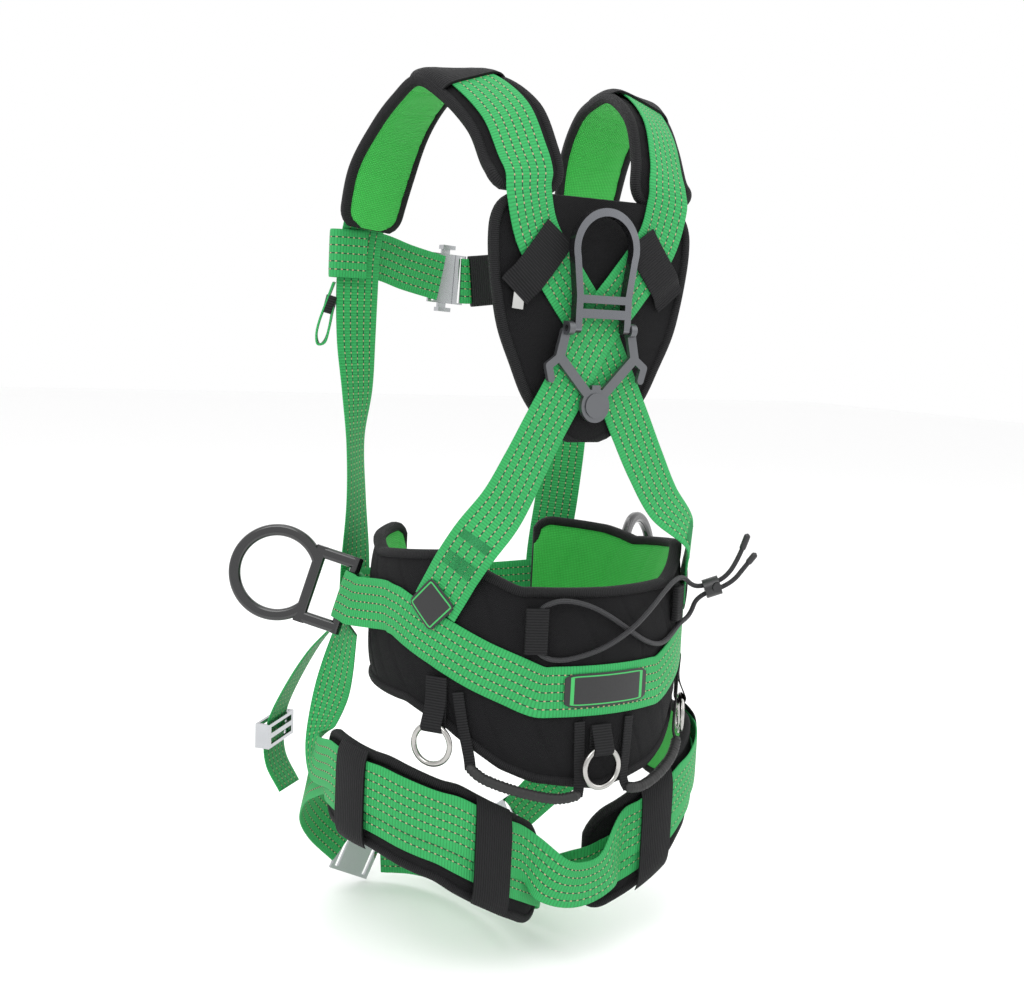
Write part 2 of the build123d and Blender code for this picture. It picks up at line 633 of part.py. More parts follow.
# ---- gear rings on folded tabs, along the lower edge of the belt webbing ----
tab_thick = 1.4
ring_wire = gear_ring_wire / 2
sag = (gear_ring_radius - sqrt(gear_ring_radius**2 - (gear_tab_width / 2) ** 2)) / 2
tab_loop = ring_wire + sag + pin_gap + 0.5 + tab_thick / 2
tab_hinge_lift = layer_gap + tab_thick / 2 + tab_loop
for around, hinge_z, name in ((60, -62, "left"), (2, -79, "back"), (-60, -62, "right")):
    strap_bottom = between(belt_strap_height, abs(around)) - strap_width / 2
    top_z = strap_bottom - 8
    spot, face, _ = on_belt(around, 0)
    out = facing(degrees(atan2(face.X, -face.Y)))
    base = Vector(spot.X, spot.Y, 0)
    outer = layer_gap + tab_thick * 1.5 + layer_gap
    row = [(base + out * outer + Vector(0, 0, top_z), out, gear_tab_width)]
    row.append((base + out * outer + Vector(0, 0, hinge_z + 20), out, gear_tab_width))
    hinge = base + out * tab_hinge_lift + Vector(0, 0, hinge_z)
    for k in range(-1, 7):
        a = radians(30 * k)
        turned = out * cos(a) - Vector(0, 0, sin(a))
        row.append((hinge + turned * tab_loop, turned, gear_tab_width))
    row.append((base + out * (layer_gap + tab_thick / 2) + Vector(0, 0, top_z - 2), out * -1, gear_tab_width))
    with BuildPart() as gear_tab:
        add(band(row, tab_thick))
    gear_tab.part.label = "gear_tab_" + name
    export_step(gear_tab.part, "parts/gear_tab_" + name + ".step")
    centre = hinge + Vector(0, 0, sag - gear_ring_radius)
    with BuildPart(Plane(centre, z_dir=out)) as gear_ring:
        Torus(gear_ring_radius, ring_wire)
    gear_ring.part.label = "gear_ring_" + name
    export_step(gear_ring.part, "parts/gear_ring_" + name + ".step")
    print("gear ring", name, "hinge", hinge, "out", out)

# ---- gear loops: a moulded grip hung on two tapes ----
grip_route = [(47, -92), (44, -101), (37, -108), (29, -114), (21, -119), (14, -121), (9, -117)]
outer_tape = [(52, -30), (50, -56), (47, -86), (46, -96)]
inner_tape = [(10, -53), (9.5, -84), (9, -110), (10, -119)]
tape_width, tape_thick = 10.0, 2.0
for side, name in ((1, "left"), (-1, "right")):
    grip_lift = layer_gap + grip_diameter / 2
    points = [on_belt(side * a, z, grip_lift)[0] for a, z in grip_route]
    with BuildPart() as gear_loop:
        add(tube(points, grip_diameter, arc_radii(points)))
        for ends in (outer_tape, inner_tape):
            lifts = (1.8, 1.8, 1.9, grip_lift)
            row = [on_belt(side * a, z, lift, tape_width) for (a, z), lift in zip(ends, lifts)]
            add(band(row, tape_thick))
    gear_loop.part.label = "gear_loop_" + name
    export_step(gear_loop.part, "parts/gear_loop_" + name + ".step")

# ---- lumbar cord: elastic cord laced across the back of the belt, with a cord lock ----
cord_lift = layer_gap + cord_diameter / 2
sleeve_at, sleeve_top, sleeve_bottom = 26.5, 48.0, 8.0
lock_at = Vector(-137, 140, 52)
lock_up = Vector(-0.75, 0.5, 0.35).normalized()     # the way both cords leave the lock
lock_side = (Vector(0, 0, 1) - lock_up * lock_up.Z).normalized() * 3.4


def laid(around, z, over=0.0):
    return on_belt(around, z, cord_lift + over)[0]


over = cord_diameter + layer_gap + 0.4
upper_tail = [lock_at + Vector(*d) for d in ((-25, 17, 52), (-21, 14, 34))]
upper_tail += [lock_at + lock_up * 15 + lock_side, lock_at - lock_up * 9 + lock_side]
lower_tail = [lock_at + Vector(*d) for d in ((-33, 21, 34), (-26, 16, 22))]
lower_tail += [lock_at + lock_up * 17 - lock_side, lock_at - lock_up * 16 - lock_side]
route = upper_tail + [laid(-47, 53, 8), laid(-42, 63, 1.5), laid(-34, 63), laid(-25, 54)]
route += [laid(-16, 42, over * 0.6), laid(-7, 27, over), laid(3, 12, over * 0.6), laid(12, 4), laid(19, 1.5)]
route += [laid(24, 5), laid(26.8, 13), laid(27.3, 27), laid(26.9, 41), laid(24.3, 50)]
route += [laid(18.5, 55), laid(10, 51), laid(2, 41), laid(-7, 26), laid(-16, 12), laid(-25, 6), laid(-33, 11)]
route += [laid(-40, 19, 1), laid(-47, 25, 8)] + lower_tail[::-1]
with BuildPart() as elastic_cord:
    add(tube(route, cord_diameter, arc_radii(route)))
print("elastic cord radii", [round(radius, 1) for radius in arc_radii(route)])
elastic_cord.part.label = "elastic_cord"
export_step(elastic_cord.part, "parts/elastic_cord.step")

sleeve_room = cord_diameter + 2 * layer_gap
for at, top, bottom, name in ((sleeve_at, sleeve_top, sleeve_bottom, "left"), (-38, 56, 24, "right")):
    row = [on_belt(at, top, 0, 20), on_belt(at, bottom, 0, 20)]
    deep = sleeve_room + 1.2
    with BuildPart() as cord_sleeve:
        add(band(row, deep, lift=layer_gap / 2 + deep / 2))
        if name == "left":
            add(band(row, sleeve_room, lift=layer_gap / 2 + sleeve_room / 2, width=17), mode=Mode.SUBTRACT)
    cord_sleeve.part.label = "cord_sleeve_" + name
    export_step(cord_sleeve.part, "parts/cord_sleeve_" + name + ".step")

lock_place = Plane(lock_at, x_dir=lock_side.normalized(), z_dir=lock_up)
hole = cord_diameter / 2 + layer_gap
with BuildPart(lock_place) as cord_lock_body:
    Cylinder(9, 15)
    with Locations((0, 0, 4)):
        Cylinder(4.6, 30, rotation=(90, 0, 0), mode=Mode.SUBTRACT)
    with Locations((lock_side.length, 0), (-lock_side.length, 0)):
        Cylinder(hole, 40, mode=Mode.SUBTRACT)
cord_lock_body.part.label = "cord_lock_body"
export_step(cord_lock_body.part, "parts/cord_lock_body.step")
with BuildPart(lock_place) as cord_lock_button:
    with Locations((0, 3, 4)):
        Cylinder(4.2, 20, rotation=(90, 0, 0))
    with Locations((lock_side.length, lever_travel / 2), (-lock_side.length, lever_travel / 2)):
        Box(2 * hole + 0.4, 2 * hole + 1 + lever_travel, 40, mode=Mode.SUBTRACT)
cord_lock_button.part.label = "cord_lock_button"
export_step(cord_lock_button.part, "parts/cord_lock_button.step")

# ---- lanyard keeper loop on the left shoulder strap ----
loop_row = stations([
    (148.4, -99, 318, 60, 0), (153.4, -103, 300, 62, 6), (158.4, -107, 282, 64, 4), (160.4, -109, 268, 64, -20),
    (158.4, -108, 259, 64, -80), (153.4, -105, 262, 244, 20), (150.4, -103, 274, 244, -4),
    (147.4, -101, 296, 242, -8),
], 22, rise)
with BuildPart() as lanyard_loop:
    add(band(loop_row, strap_thick))
lanyard_loop.part.label = "lanyard_loop"
export_step(lanyard_loop.part, "parts/lanyard_loop.step")
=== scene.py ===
import bpy
import numpy as np
from math import pi
from mathutils import Matrix, Vector


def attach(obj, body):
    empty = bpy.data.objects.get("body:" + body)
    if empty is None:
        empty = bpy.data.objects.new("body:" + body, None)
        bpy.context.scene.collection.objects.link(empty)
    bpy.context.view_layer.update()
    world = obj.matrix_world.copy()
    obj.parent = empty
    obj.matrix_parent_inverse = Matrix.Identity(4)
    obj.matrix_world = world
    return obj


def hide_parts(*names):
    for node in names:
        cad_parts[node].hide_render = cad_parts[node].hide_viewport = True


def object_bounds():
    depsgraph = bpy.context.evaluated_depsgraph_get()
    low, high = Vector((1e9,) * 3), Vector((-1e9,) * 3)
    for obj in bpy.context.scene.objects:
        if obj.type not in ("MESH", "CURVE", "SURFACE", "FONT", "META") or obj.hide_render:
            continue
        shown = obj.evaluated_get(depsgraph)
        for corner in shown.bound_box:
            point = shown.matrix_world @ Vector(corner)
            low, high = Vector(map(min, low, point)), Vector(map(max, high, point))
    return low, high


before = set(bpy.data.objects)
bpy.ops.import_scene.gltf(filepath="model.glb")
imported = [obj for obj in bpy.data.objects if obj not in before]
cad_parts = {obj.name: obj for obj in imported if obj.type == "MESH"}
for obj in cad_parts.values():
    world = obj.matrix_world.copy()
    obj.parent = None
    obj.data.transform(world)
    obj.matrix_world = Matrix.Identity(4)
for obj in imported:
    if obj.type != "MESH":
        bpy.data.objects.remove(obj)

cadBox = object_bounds()
mm = 0.001   # the harness's own sizes below are in millimetres, and Strip turns them into metres
print("frame loaded:", len(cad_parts), "nodes")


# Finishes, all of them nodes; a pattern follows the piece's own map or its place on the object.
class Wire:
    # one output of a node, so that maths on it reads as maths
    def __init__(self, finish, socket):
        self.finish = finish
        self.socket = socket

    def run(self, operation, *values):
        return self.finish.node("ShaderNodeMath", {"operation": operation}, dict(enumerate(values)))

    def __add__(self, other):
        return self.run("ADD", self, other)

    def __radd__(self, other):
        return self.run("ADD", other, self)

    def __sub__(self, other):
        return self.run("SUBTRACT", self, other)

    def __rsub__(self, other):
        return self.run("SUBTRACT", other, self)

    def __mul__(self, other):
        return self.run("MULTIPLY", self, other)

    def __rmul__(self, other):
        return self.run("MULTIPLY", other, self)

    def __truediv__(self, other):
        return self.run("DIVIDE", self, other)

    def __pow__(self, other):
        return self.run("POWER", self, other)

    def __lt__(self, other):
        return self.run("LESS_THAN", self, other)

    def __gt__(self, other):
        return self.run("GREATER_THAN", self, other)

    def sin(self):
        return self.run("SINE", self)

    def size(self):
        return self.run("ABSOLUTE", self)

    def fract(self):
        return self.run("FRACT", self)


class Finish:
    # one material: its nodes, and short ways to add them
    def __init__(self, name, colour, roughness, metallic=0.0, constants=None):
        self.material = bpy.data.materials.new(name)
        self.material.use_nodes = True
        self.tree = self.material.node_tree
        self.surface = self.tree.nodes["Principled BSDF"]
        self.surface.inputs["Base Color"].default_value = (*colour, 1)
        self.surface.inputs["Roughness"].default_value = roughness
        self.surface.inputs["Metallic"].default_value = metallic
        for socket, value in (constants or {}).items():
            self.surface.inputs[socket].default_value = value

    def node(self, kind, settings, inputs, output=0):
        made = self.tree.nodes.new(kind)
        for key, value in settings.items():
            setattr(made, key, value)
        for key, value in inputs.items():
            if isinstance(value, Wire):
                self.tree.links.new(value.socket, made.inputs[key])
            elif isinstance(value, tuple) and len(value) == 3 and made.inputs[key].type == "RGBA":
                made.inputs[key].default_value = (*value, 1)
            else:
                made.inputs[key].default_value = value
        return Wire(self, made.outputs[output])

    def mix(self, factor, first, second):
        return self.node("ShaderNodeMix", {"data_type": "RGBA"}, {0: factor, 6: first, 7: second}, 2)

    def noise(self, place, scale, detail=3.0):
        return self.node("ShaderNodeTexNoise", {}, {"Vector": place, "Scale": scale, "Detail": detail})

    def objectPlace(self):
        return self.node("ShaderNodeTexCoord", {}, {}, 3)

    def weave(self):
        # the piece's own map in metres: across the cloth, and along it
        place = self.node("ShaderNodeUVMap", {"uv_map": "weave"}, {})
        across = self.node("ShaderNodeSeparateXYZ", {}, {0: place}, 0)
        along = self.node("ShaderNodeSeparateXYZ", {}, {0: place}, 1)
        return across, along

    def set(self, socket, wire):
        self.tree.links.new(wire.socket, self.surface.inputs[socket])

    def bump(self, height, distance, strength=1.0):
        made = self.node("ShaderNodeBump", {}, {"Height": height, "Distance": distance, "Strength": strength})
        self.set("Normal", made)


webbing = {
    "ribSpacing": 2.8 * mm,
    "tracerSpacing": 7.5 * mm,
    "tracerWidth": 0.55 * mm,
    "tracerReach": 19.5 * mm,    # no tracers nearer the edge than this
    "dashLength": 5.6 * mm,
    "green": (0.030, 0.40, 0.105),
    # painted shade for the grooves between ribs; the random mottle also fades to this colour
    "shade": (0.012, 0.22, 0.055),
    "dash": (0.006, 0.06, 0.025),
    "dot": (0.48, 0.30, 0.20),
}


def webbingFinish(name="greenWebbing", green=webbing["green"]):
    finish = Finish(name, green, 0.62, constants={"Specular IOR Level": 0.35})
    across, along = finish.weave()
    rib = (along * (pi / webbing["ribSpacing"])).sin().size()
    line = ((across / webbing["tracerSpacing"] + 0.5).fract() - 0.5).size() * webbing["tracerSpacing"]
    tracer = (line < webbing["tracerWidth"]) * (across.size() < webbing["tracerReach"])
    step = (along / webbing["dashLength"]).fract()
    cloud = finish.noise(finish.objectPlace(), 26.0)
    # painted shade: the cloth is darker in the grooves between the ribs
    cloth = finish.mix(rib ** 0.6, webbing["shade"], green)
    cloth = finish.mix(cloud * 0.45, cloth, webbing["shade"])
    cloth = finish.mix(tracer * (step < 0.62), cloth, webbing["dash"])
    cloth = finish.mix(tracer * (step > 0.70), cloth, webbing["dot"])
    finish.set("Base Color", cloth)
    grain = finish.noise(finish.objectPlace(), 900.0)
    finish.set("Roughness", 0.5 + rib * 0.12 + grain * 0.1)
    finish.bump(rib * 0.8 + tracer * 0.35 + grain * 0.3, 0.35 * mm)
    return finish.material


def padFinish():
    finish = Finish("blackPadCloth", (0.009, 0.009, 0.0095), 0.85, constants={"Specular IOR Level": 0.2})
    across, along = finish.weave()
    warp = (across * (pi / (0.9 * mm))).sin() * (along * (pi / (0.9 * mm))).sin()
    cloud = finish.noise(finish.objectPlace(), 34.0)
    worn = cloud * 0.7 + warp * 0.15
    finish.set("Base Color", finish.mix(worn, (0.004, 0.004, 0.0045), (0.013, 0.013, 0.014)))
    finish.set("Roughness", 0.74 + cloud * 0.2)
    finish.bump(warp + finish.noise(finish.objectPlace(), 260.0) * 0.8, 0.25 * mm)
    return finish.material


def liningFinish():
    finish = Finish("greenMeshLining", (0.05, 0.62, 0.085), 0.7, constants={"Sheen Weight": 0.06})
    across, along = finish.weave()
    cells = (across * (pi / (1.7 * mm))).sin().size() * (along * (pi / (1.7 * mm))).sin().size()
    cloud = finish.noise(finish.objectPlace(), 22.0)
    cloth = finish.mix(cells, (0.016, 0.30, 0.03), (0.06, 0.68, 0.10))
    finish.set("Base Color", finish.mix(cloud * 0.3, cloth, (0.03, 0.42, 0.05)))
    finish.bump(cells, 0.5 * mm)
    return finish.material


def bindingFinish(name="blackBinding", spacing=1.7 * mm):
    finish = Finish(name, (0.009, 0.009, 0.01), 0.7, constants={"Specular IOR Level": 0.2})
    across, along = finish.weave()
    rib = (along * (pi / spacing)).sin().size()
    warp = (across * (pi / (1.1 * mm))).sin().size()
    # painted shade: the tape is darker in the grooves between its ribs
    finish.set("Base Color", finish.mix(rib, (0.002, 0.002, 0.0025), (0.017, 0.017, 0.018)))
    finish.set("Roughness", 0.58 + rib * 0.2)
    finish.bump(rib + warp * 0.4, 0.5 * mm)
    return finish.material


def ringCoatFinish():
    finish = Finish("blackRingCoat", (0.008, 0.008, 0.009), 0.18,
                    constants={"Coat Weight": 0.6, "Coat Roughness": 0.08})
    wear = finish.noise(finish.objectPlace(), 40.0, 6.0)
    scuff = finish.noise(finish.objectPlace(), 240.0)
    finish.set("Roughness", 0.13 + wear * 0.14)
    finish.set("Base Color", finish.mix(scuff * 0.3, (0.006, 0.006, 0.007), (0.02, 0.02, 0.022)))
    finish.bump(scuff, 0.04 * mm, 0.5)
    return finish.material


def dorsalRingFinish():
    # polished where the metal faces front or back, black on its edges
    finish = Finish("polishedFaceRing", (0.7, 0.7, 0.72), 0.2, 1.0)
    facing = finish.node("ShaderNodeTexCoord", {}, {}, 1)
    flat = finish.node("ShaderNodeSeparateXYZ", {}, {0: facing}, 1).size() > 0.9
    scuff = finish.noise(finish.objectPlace(), 60.0, 5.0)
    steel = finish.mix(scuff * 0.6, (0.19, 0.195, 0.21), (0.10, 0.105, 0.115))
    finish.set("Base Color", finish.mix(flat, (0.012, 0.012, 0.013), steel))
    finish.set("Metallic", flat * 0.9 + 0.1)
    finish.set("Roughness", 0.13 + scuff * 0.16)
    finish.bump(scuff, 0.01 * mm, 0.4)
    return finish.material


def metalFinish(name, colour, roughness, metallic=1.0, grain=120.0):
    finish = Finish(name, colour, roughness, metallic)
    cloud = finish.noise(finish.objectPlace(), grain, 6.0)
    darker = tuple(0.62 * c for c in colour)
    finish.set("Base Color", finish.mix(cloud * 0.6, colour, darker))
    finish.set("Roughness", roughness * 0.6 + cloud * roughness * 0.8)
    finish.bump(cloud, 0.02 * mm, 0.4)
    return finish.material


def mouldedFinish(name, colour, roughness):
    finish = Finish(name, colour, roughness)
    grain = finish.noise(finish.objectPlace(), 700.0)
    cloud = finish.noise(finish.objectPlace(), 50.0)
    lighter = tuple(2.2 * c for c in colour)
    finish.set("Base Color", finish.mix(cloud * 0.5, colour, lighter))
    finish.set("Roughness", roughness + grain * 0.15)
    finish.bump(grain, 0.12 * mm)
    return finish.material


def cordFinish():
    # two sets of strands that cross on the cord
    finish = Finish("braidedElastic", (0.012, 0.012, 0.014), 0.6, constants={"Sheen Weight": 0.05})
    around, along = finish.weave()
    first = (around * 8.0 * pi + along * (pi / (1.3 * mm))).sin()
    second = (around * 8.0 * pi - along * (pi / (1.3 * mm))).sin()
    strands = first * second
    finish.set("Base Color", finish.mix(strands * 0.5 + 0.5, (0.004, 0.004, 0.005), (0.03, 0.03, 0.034)))
    finish.bump(strands, 0.3 * mm)
    return finish.material


def patchFinish():
    # a bare rubber face with a thin green line inside its edge; the map runs from -1 to 1 both ways
    finish = Finish("bareRubberPatch", (0.014, 0.014, 0.015), 0.45)
    place = finish.node("ShaderNodeUVMap", {"uv_map": "weave"}, {})
    wide = finish.node("ShaderNodeSeparateXYZ", {}, {0: place}, 0).size()
    tall = finish.node("ShaderNodeSeparateXYZ", {}, {0: place}, 1).size()
    reach = wide.run("MAXIMUM", wide, tall)
    line = (reach > 0.80) * (reach < 0.88)
    grain = finish.noise(finish.objectPlace(), 500.0)
    finish.set("Base Color", finish.mix(line, (0.014, 0.014, 0.015), (0.04, 0.42, 0.10)))
    finish.set("Roughness", 0.36 + grain * 0.2)
    finish.bump(line * 2.0 + grain * 0.3, 0.25 * mm)
    return finish.material


greenWebbing = webbingFinish()
padCloth = padFinish()
meshLining = liningFinish()
binding = bindingFinish()
blackWebbing = bindingFinish("blackRibbedWebbing", 2.4 * mm)
ringCoat = ringCoatFinish()
dorsalSteel = dorsalRingFinish()
greyPlate = metalFinish("satinGreyPlate", (0.15, 0.155, 0.165), 0.34, 0.75, 40.0)
chrome = metalFinish("brightBuckle", (0.52, 0.53, 0.55), 0.16, 1.0, 30.0)
ringSteel = metalFinish("ringSteel", (0.50, 0.49, 0.47), 0.2, 1.0, 40.0)
gripPlastic = mouldedFinish("mouldedGrip", (0.009, 0.009, 0.009), 0.5)
lockPlastic = mouldedFinish("lockPlastic", (0.012, 0.012, 0.013), 0.28)
elastic = cordFinish()
patchRubber = patchFinish()
threadFinish = mouldedFinish("sewingThread", (0.012, 0.17, 0.05), 0.7)
paleTag = mouldedFinish("paleTagCloth", (0.33, 0.33, 0.32), 0.7)
print("finishes made")


# Surfaces: everything soft is a section carried along a path.
def makeSurface(name, points, across, along, finishes, body="harness", inner=None, closed=False):
    # points[i, j] is ring i of a tube; ring points run once round, and across has one more column.
    # With closed the last ring joins the first, or else both ends are capped.
    rings, count = points.shape[:2]
    last = rings if closed else rings - 1
    i, j = np.meshgrid(np.arange(last), np.arange(count), indexing="ij")
    i, j = i.ravel(), j.ravel()
    nextRing, nextPoint = (i + 1) % rings, (j + 1) % count
    here, there = i * count, nextRing * count
    quads = np.stack([here + j, here + nextPoint, there + nextPoint, there + j], -1)
    mapAlong = along if along.ndim == 2 else np.repeat(along[:, None], count + 1, 1)
    if closed:
        mapAlong = np.concatenate([mapAlong, 2 * mapAlong[-1:] - mapAlong[-2:-1]])
        across = np.concatenate([across, across[:1]])
    corners = [(i, j), (i, j + 1), (i + 1, j + 1), (i + 1, j)]
    uv = np.stack([np.stack([across[a, b], mapAlong[a, b]], -1) for a, b in corners], 1)
    flat = points.reshape(-1, 3)
    a, b, c, d = (flat[quads[:, k]] for k in range(4))
    inside = flat.mean(0)
    bulk = np.einsum("ij,ij->i", a - inside, np.cross(b - inside, c - inside))
    bulk += np.einsum("ij,ij->i", a - inside, np.cross(c - inside, d - inside))
    outward = bulk.sum() > 0
    if not outward:
        quads, uv = quads[:, ::-1], uv[:, ::-1]
    faces = quads.tolist()
    loops = [uv.reshape(-1, 2)]
    if not closed:
        front = list(range(count))
        back = [(rings - 1) * count + k for k in range(count)]
        for cap, ring, turned in ((front, 0, outward), (back, rings - 1, not outward)):
            order = cap[::-1] if turned else cap
            faces.append(order)
            sides = across[ring, :count]
            ends = mapAlong[ring, :count]
            pair = np.stack([sides, ends], -1)
            loops.append(pair[::-1] if turned else pair)
    mesh = bpy.data.meshes.new(name)
    mesh.from_pydata(flat.tolist(), [], faces)
    mesh.uv_layers.new(name="weave").data.foreach_set("uv", np.concatenate(loops).ravel())
    for finish in finishes:
        mesh.materials.append(finish)
    if inner is not None:
        which = np.concatenate([inner[i, j], np.zeros(0 if closed else 2, int)])
        mesh.polygons.foreach_set("material_index", which.astype(np.int32))
    mesh.polygons.foreach_set("use_smooth", np.ones(len(mesh.polygons), bool))
    mesh.set_sharp_from_angle(angle=0.9)
    mesh.update()
    piece = bpy.data.objects.new(name, mesh)
    bpy.context.scene.collection.objects.link(piece)
    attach(piece, body)
    return piece


def unit(v):
    return v / np.maximum(np.linalg.norm(v, axis=-1, keepdims=True), 1e-12)


def facing(turn, tilt=0.0):
    # 0 looks forward and 90 to the wearer's left; tilt looks up
    a, b = np.radians(turn), np.radians(tilt)
    return np.stack([np.sin(a) * np.cos(b), -np.cos(a) * np.cos(b), np.sin(b) + 0 * a], -1)


def rows(points, width=45.0):
    # stations from (x, y, z, turn, tilt[, width]): places, facings and widths
    table = np.array([tuple(p[:5]) + ((p[5],) if len(p) > 5 else (width,)) for p in points], float)
    return table[:, :3], facing(table[:, 3], table[:, 4]), table[:, 5]


def joined(*parts):
    return tuple(np.concatenate([part[k] for part in parts]) for k in range(3))


def mirrored(part):
    return part[0] * (-1, 1, 1), part[1] * (-1, 1, 1), part[2]


def sided(part, side):
    return part if side > 0 else mirrored(part)


def backwards(part):
    return tuple(values[::-1] for values in part)


class Strip:
    # A ribbon's middle surface. Between the stations each value follows a cubic whose slope
    # at a station is the chord between its neighbours, over the square root of their distance.
    def __init__(self, part, upright=(), spacing=3.0):
        place, normal, width = part
        count = len(place)
        ahead = place[np.minimum(np.arange(count) + 1, count - 1)]
        behind = place[np.maximum(np.arange(count) - 1, 0)]
        along = unit(ahead - behind)
        for k in upright:
            along[k, 2] = 0
        along = unit(along)
        across = unit(np.cross(normal, along))
        face = unit(np.cross(along, across))
        values = np.concatenate([place, across, face, width[:, None]], 1)
        chord = np.linalg.norm(np.diff(place, axis=0), axis=1)
        knots = np.concatenate([[0], np.cumsum(np.sqrt(chord))])
        walked = np.concatenate([[0], np.cumsum(chord)])
        samples = max(int(walked[-1] / spacing), 4)
        t = np.interp(np.linspace(0, walked[-1], samples), walked, knots)
        k = np.clip(np.searchsorted(knots, t, side="right") - 1, 0, count - 2)
        h = (knots[k + 1] - knots[k])[:, None]
        s = (t[:, None] - knots[k][:, None]) / h
        up = np.minimum(np.arange(count) + 1, count - 1)
        down = np.maximum(np.arange(count) - 1, 0)
        slope = (values[up] - values[down]) / (knots[up] - knots[down])[:, None]
        curve = (2 * s**3 - 3 * s**2 + 1) * values[k] + (s**3 - 2 * s**2 + s) * h * slope[k]
        curve += (3 * s**2 - 2 * s**3) * values[k + 1] + (s**3 - s**2) * h * slope[k + 1]
        self.place = curve[:, :3] * mm
        self.across = unit(curve[:, 3:6])
        self.face = unit(curve[:, 6:9])
        self.width = curve[:, 9] * mm
        self.along = np.concatenate([[0], np.cumsum(np.linalg.norm(np.diff(self.place, axis=0), axis=1))])
        self.length = self.along[-1]

    def read(self, values, at):
        return np.stack([np.interp(at, self.along, column) for column in values.T], -1)

    def at(self, along, across, lift=0.0):
        lifts = np.asarray(lift)[..., None] if np.ndim(lift) else lift
        place = self.read(self.place, along) + self.read(self.across, along) * np.asarray(across)[..., None]
        return place + self.read(self.face, along) * lifts


def superRing(count, sharpX, sharpY):
    # a rounded rectangle from -1 to 1: a circle whose sine and cosine are raised to small powers
    a = np.linspace(0, 2 * pi, count, endpoint=False) + pi / count
    x = np.sign(np.cos(a)) * np.abs(np.cos(a)) ** sharpX
    y = np.sign(np.sin(a)) * np.abs(np.sin(a)) ** sharpY
    return x, y


def ribbon(name, strip, thick, finish, lift=0.0, width=None, count=20, swell=0.0, body="harness"):
    # the rounded rectangle carried along the strip; swell lifts its middle, so that its edges turn in
    x, y = superRing(count, 0.35, 0.5)
    half = (np.full(len(strip.along), width * mm) if width else strip.width) / 2
    u = half[:, None] * x
    v = (lift + thick / 2 * y + swell * (1 - x**6)) * mm + 0 * u
    points = strip.place[:, None] + strip.across[:, None] * u[..., None] + strip.face[:, None] * v[..., None]
    across = np.concatenate([u, u[:, :1]], 1)
    return makeSurface(name, points, across, strip.along, [finish], body)


def endRounding(strip, corner):
    # half width along the strip, drawn in to a quarter circle at each end
    near = np.minimum(strip.along, strip.length - strip.along)
    short = np.clip(corner - near, 0, corner)
    return strip.width / 2 - corner + np.sqrt(np.maximum(corner**2 - short**2, 0))


def pad(name, strip, thick, corner, quilt, slant=0.0, nodes=(), count=56):
    # a pinched and rounded section, black outside and lined inside; channels every quilt mm run
    # across it, leaning by slant, and each face swells between two channels
    x, y = superRing(count, 0.45, 0.7)
    half = endRounding(strip, corner * mm) - 1.5 * mm
    u = half[:, None] * x
    s = strip.along[:, None] + slant * u
    channel = np.exp(-(((s / (quilt * mm)) % 1 - 0.5) * quilt / 1.8) ** 2)
    swell = np.abs(np.cos(pi * (s / (quilt * mm) + 0.5))) ** 0.5
    edge = 1 - 0.42 * x**4
    level = thick / 2 * edge * (0.86 + 0.14 * swell - 0.16 * channel) * (1 - np.abs(x) ** 8 * 0.2)
    v = level * y * mm
    points = strip.place[:, None] + strip.across[:, None] * u[..., None] + strip.face[:, None] * v[..., None]
    across = np.concatenate([u, u[:, :1]], 1)
    inner = np.repeat((y < 0)[None], len(strip.along), 0).astype(int)
    piece = makeSurface(name, points, across, strip.along, [padCloth, meshLining], inner=inner)
    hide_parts(*nodes)
    bindEdge(name + "Binding", strip, thick, corner)
    return piece


def bindEdge(name, strip, thick, corner, wide=9.0):
    # tape folded over the rim: an ellipse carried once round the pad's outline
    inset = 3.2 * mm
    half = endRounding(strip, corner * mm) - inset
    near = np.clip(strip.along, inset, strip.length - inset)
    steps = 14
    end = np.linspace(1, -1, steps)[1:-1]
    farTurn, nearTurn = np.full(steps - 2, strip.length - inset), np.full(steps - 2, inset)
    along = np.concatenate([near, farTurn, near[::-1], nearTurn])
    side = np.concatenate([half, half[-1] * end, -half[::-1], -half[0] * end])
    path = strip.at(along, side)
    keep = np.linalg.norm(path - np.roll(path, 1, 0), axis=1) > 0.4 * mm
    path, along = path[keep], along[keep]
    face = strip.read(strip.face, along)
    tangent = unit(np.roll(path, -1, 0) - np.roll(path, 1, 0))
    out = unit(np.cross(tangent, face))
    up = unit(np.cross(out, tangent))
    a = np.linspace(0, 2 * pi, 14, endpoint=False)
    reach = wide / 2 * mm * np.cos(a)
    tall = (thick * 0.29 + 1.3) * mm * np.sign(np.sin(a)) * np.abs(np.sin(a)) ** 0.7
    points = path[:, None] + out[:, None] * reach[:, None] + up[:, None] * tall[:, None]
    walked = np.concatenate([[0], np.cumsum(np.linalg.norm(np.diff(path, axis=0), axis=1))])
    across = np.repeat(np.linspace(0, 26 * mm, 15)[None], len(path), 0)
    return makeSurface(name, points, across, walked, [binding], closed=True)


# The belt: its pad, and the webbing that goes round it and through both side rings.
belt = {"halfWidth": 152.0, "halfDepth": 135.0, "forward": 33.0, "thick": 16.0, "end": 148, "corner": 20.0,
        "quilt": 46.0, "quiltSlant": 0.55}
gap = 0.6          # between two layers
strapThick = 2.4
ply = strapThick + gap


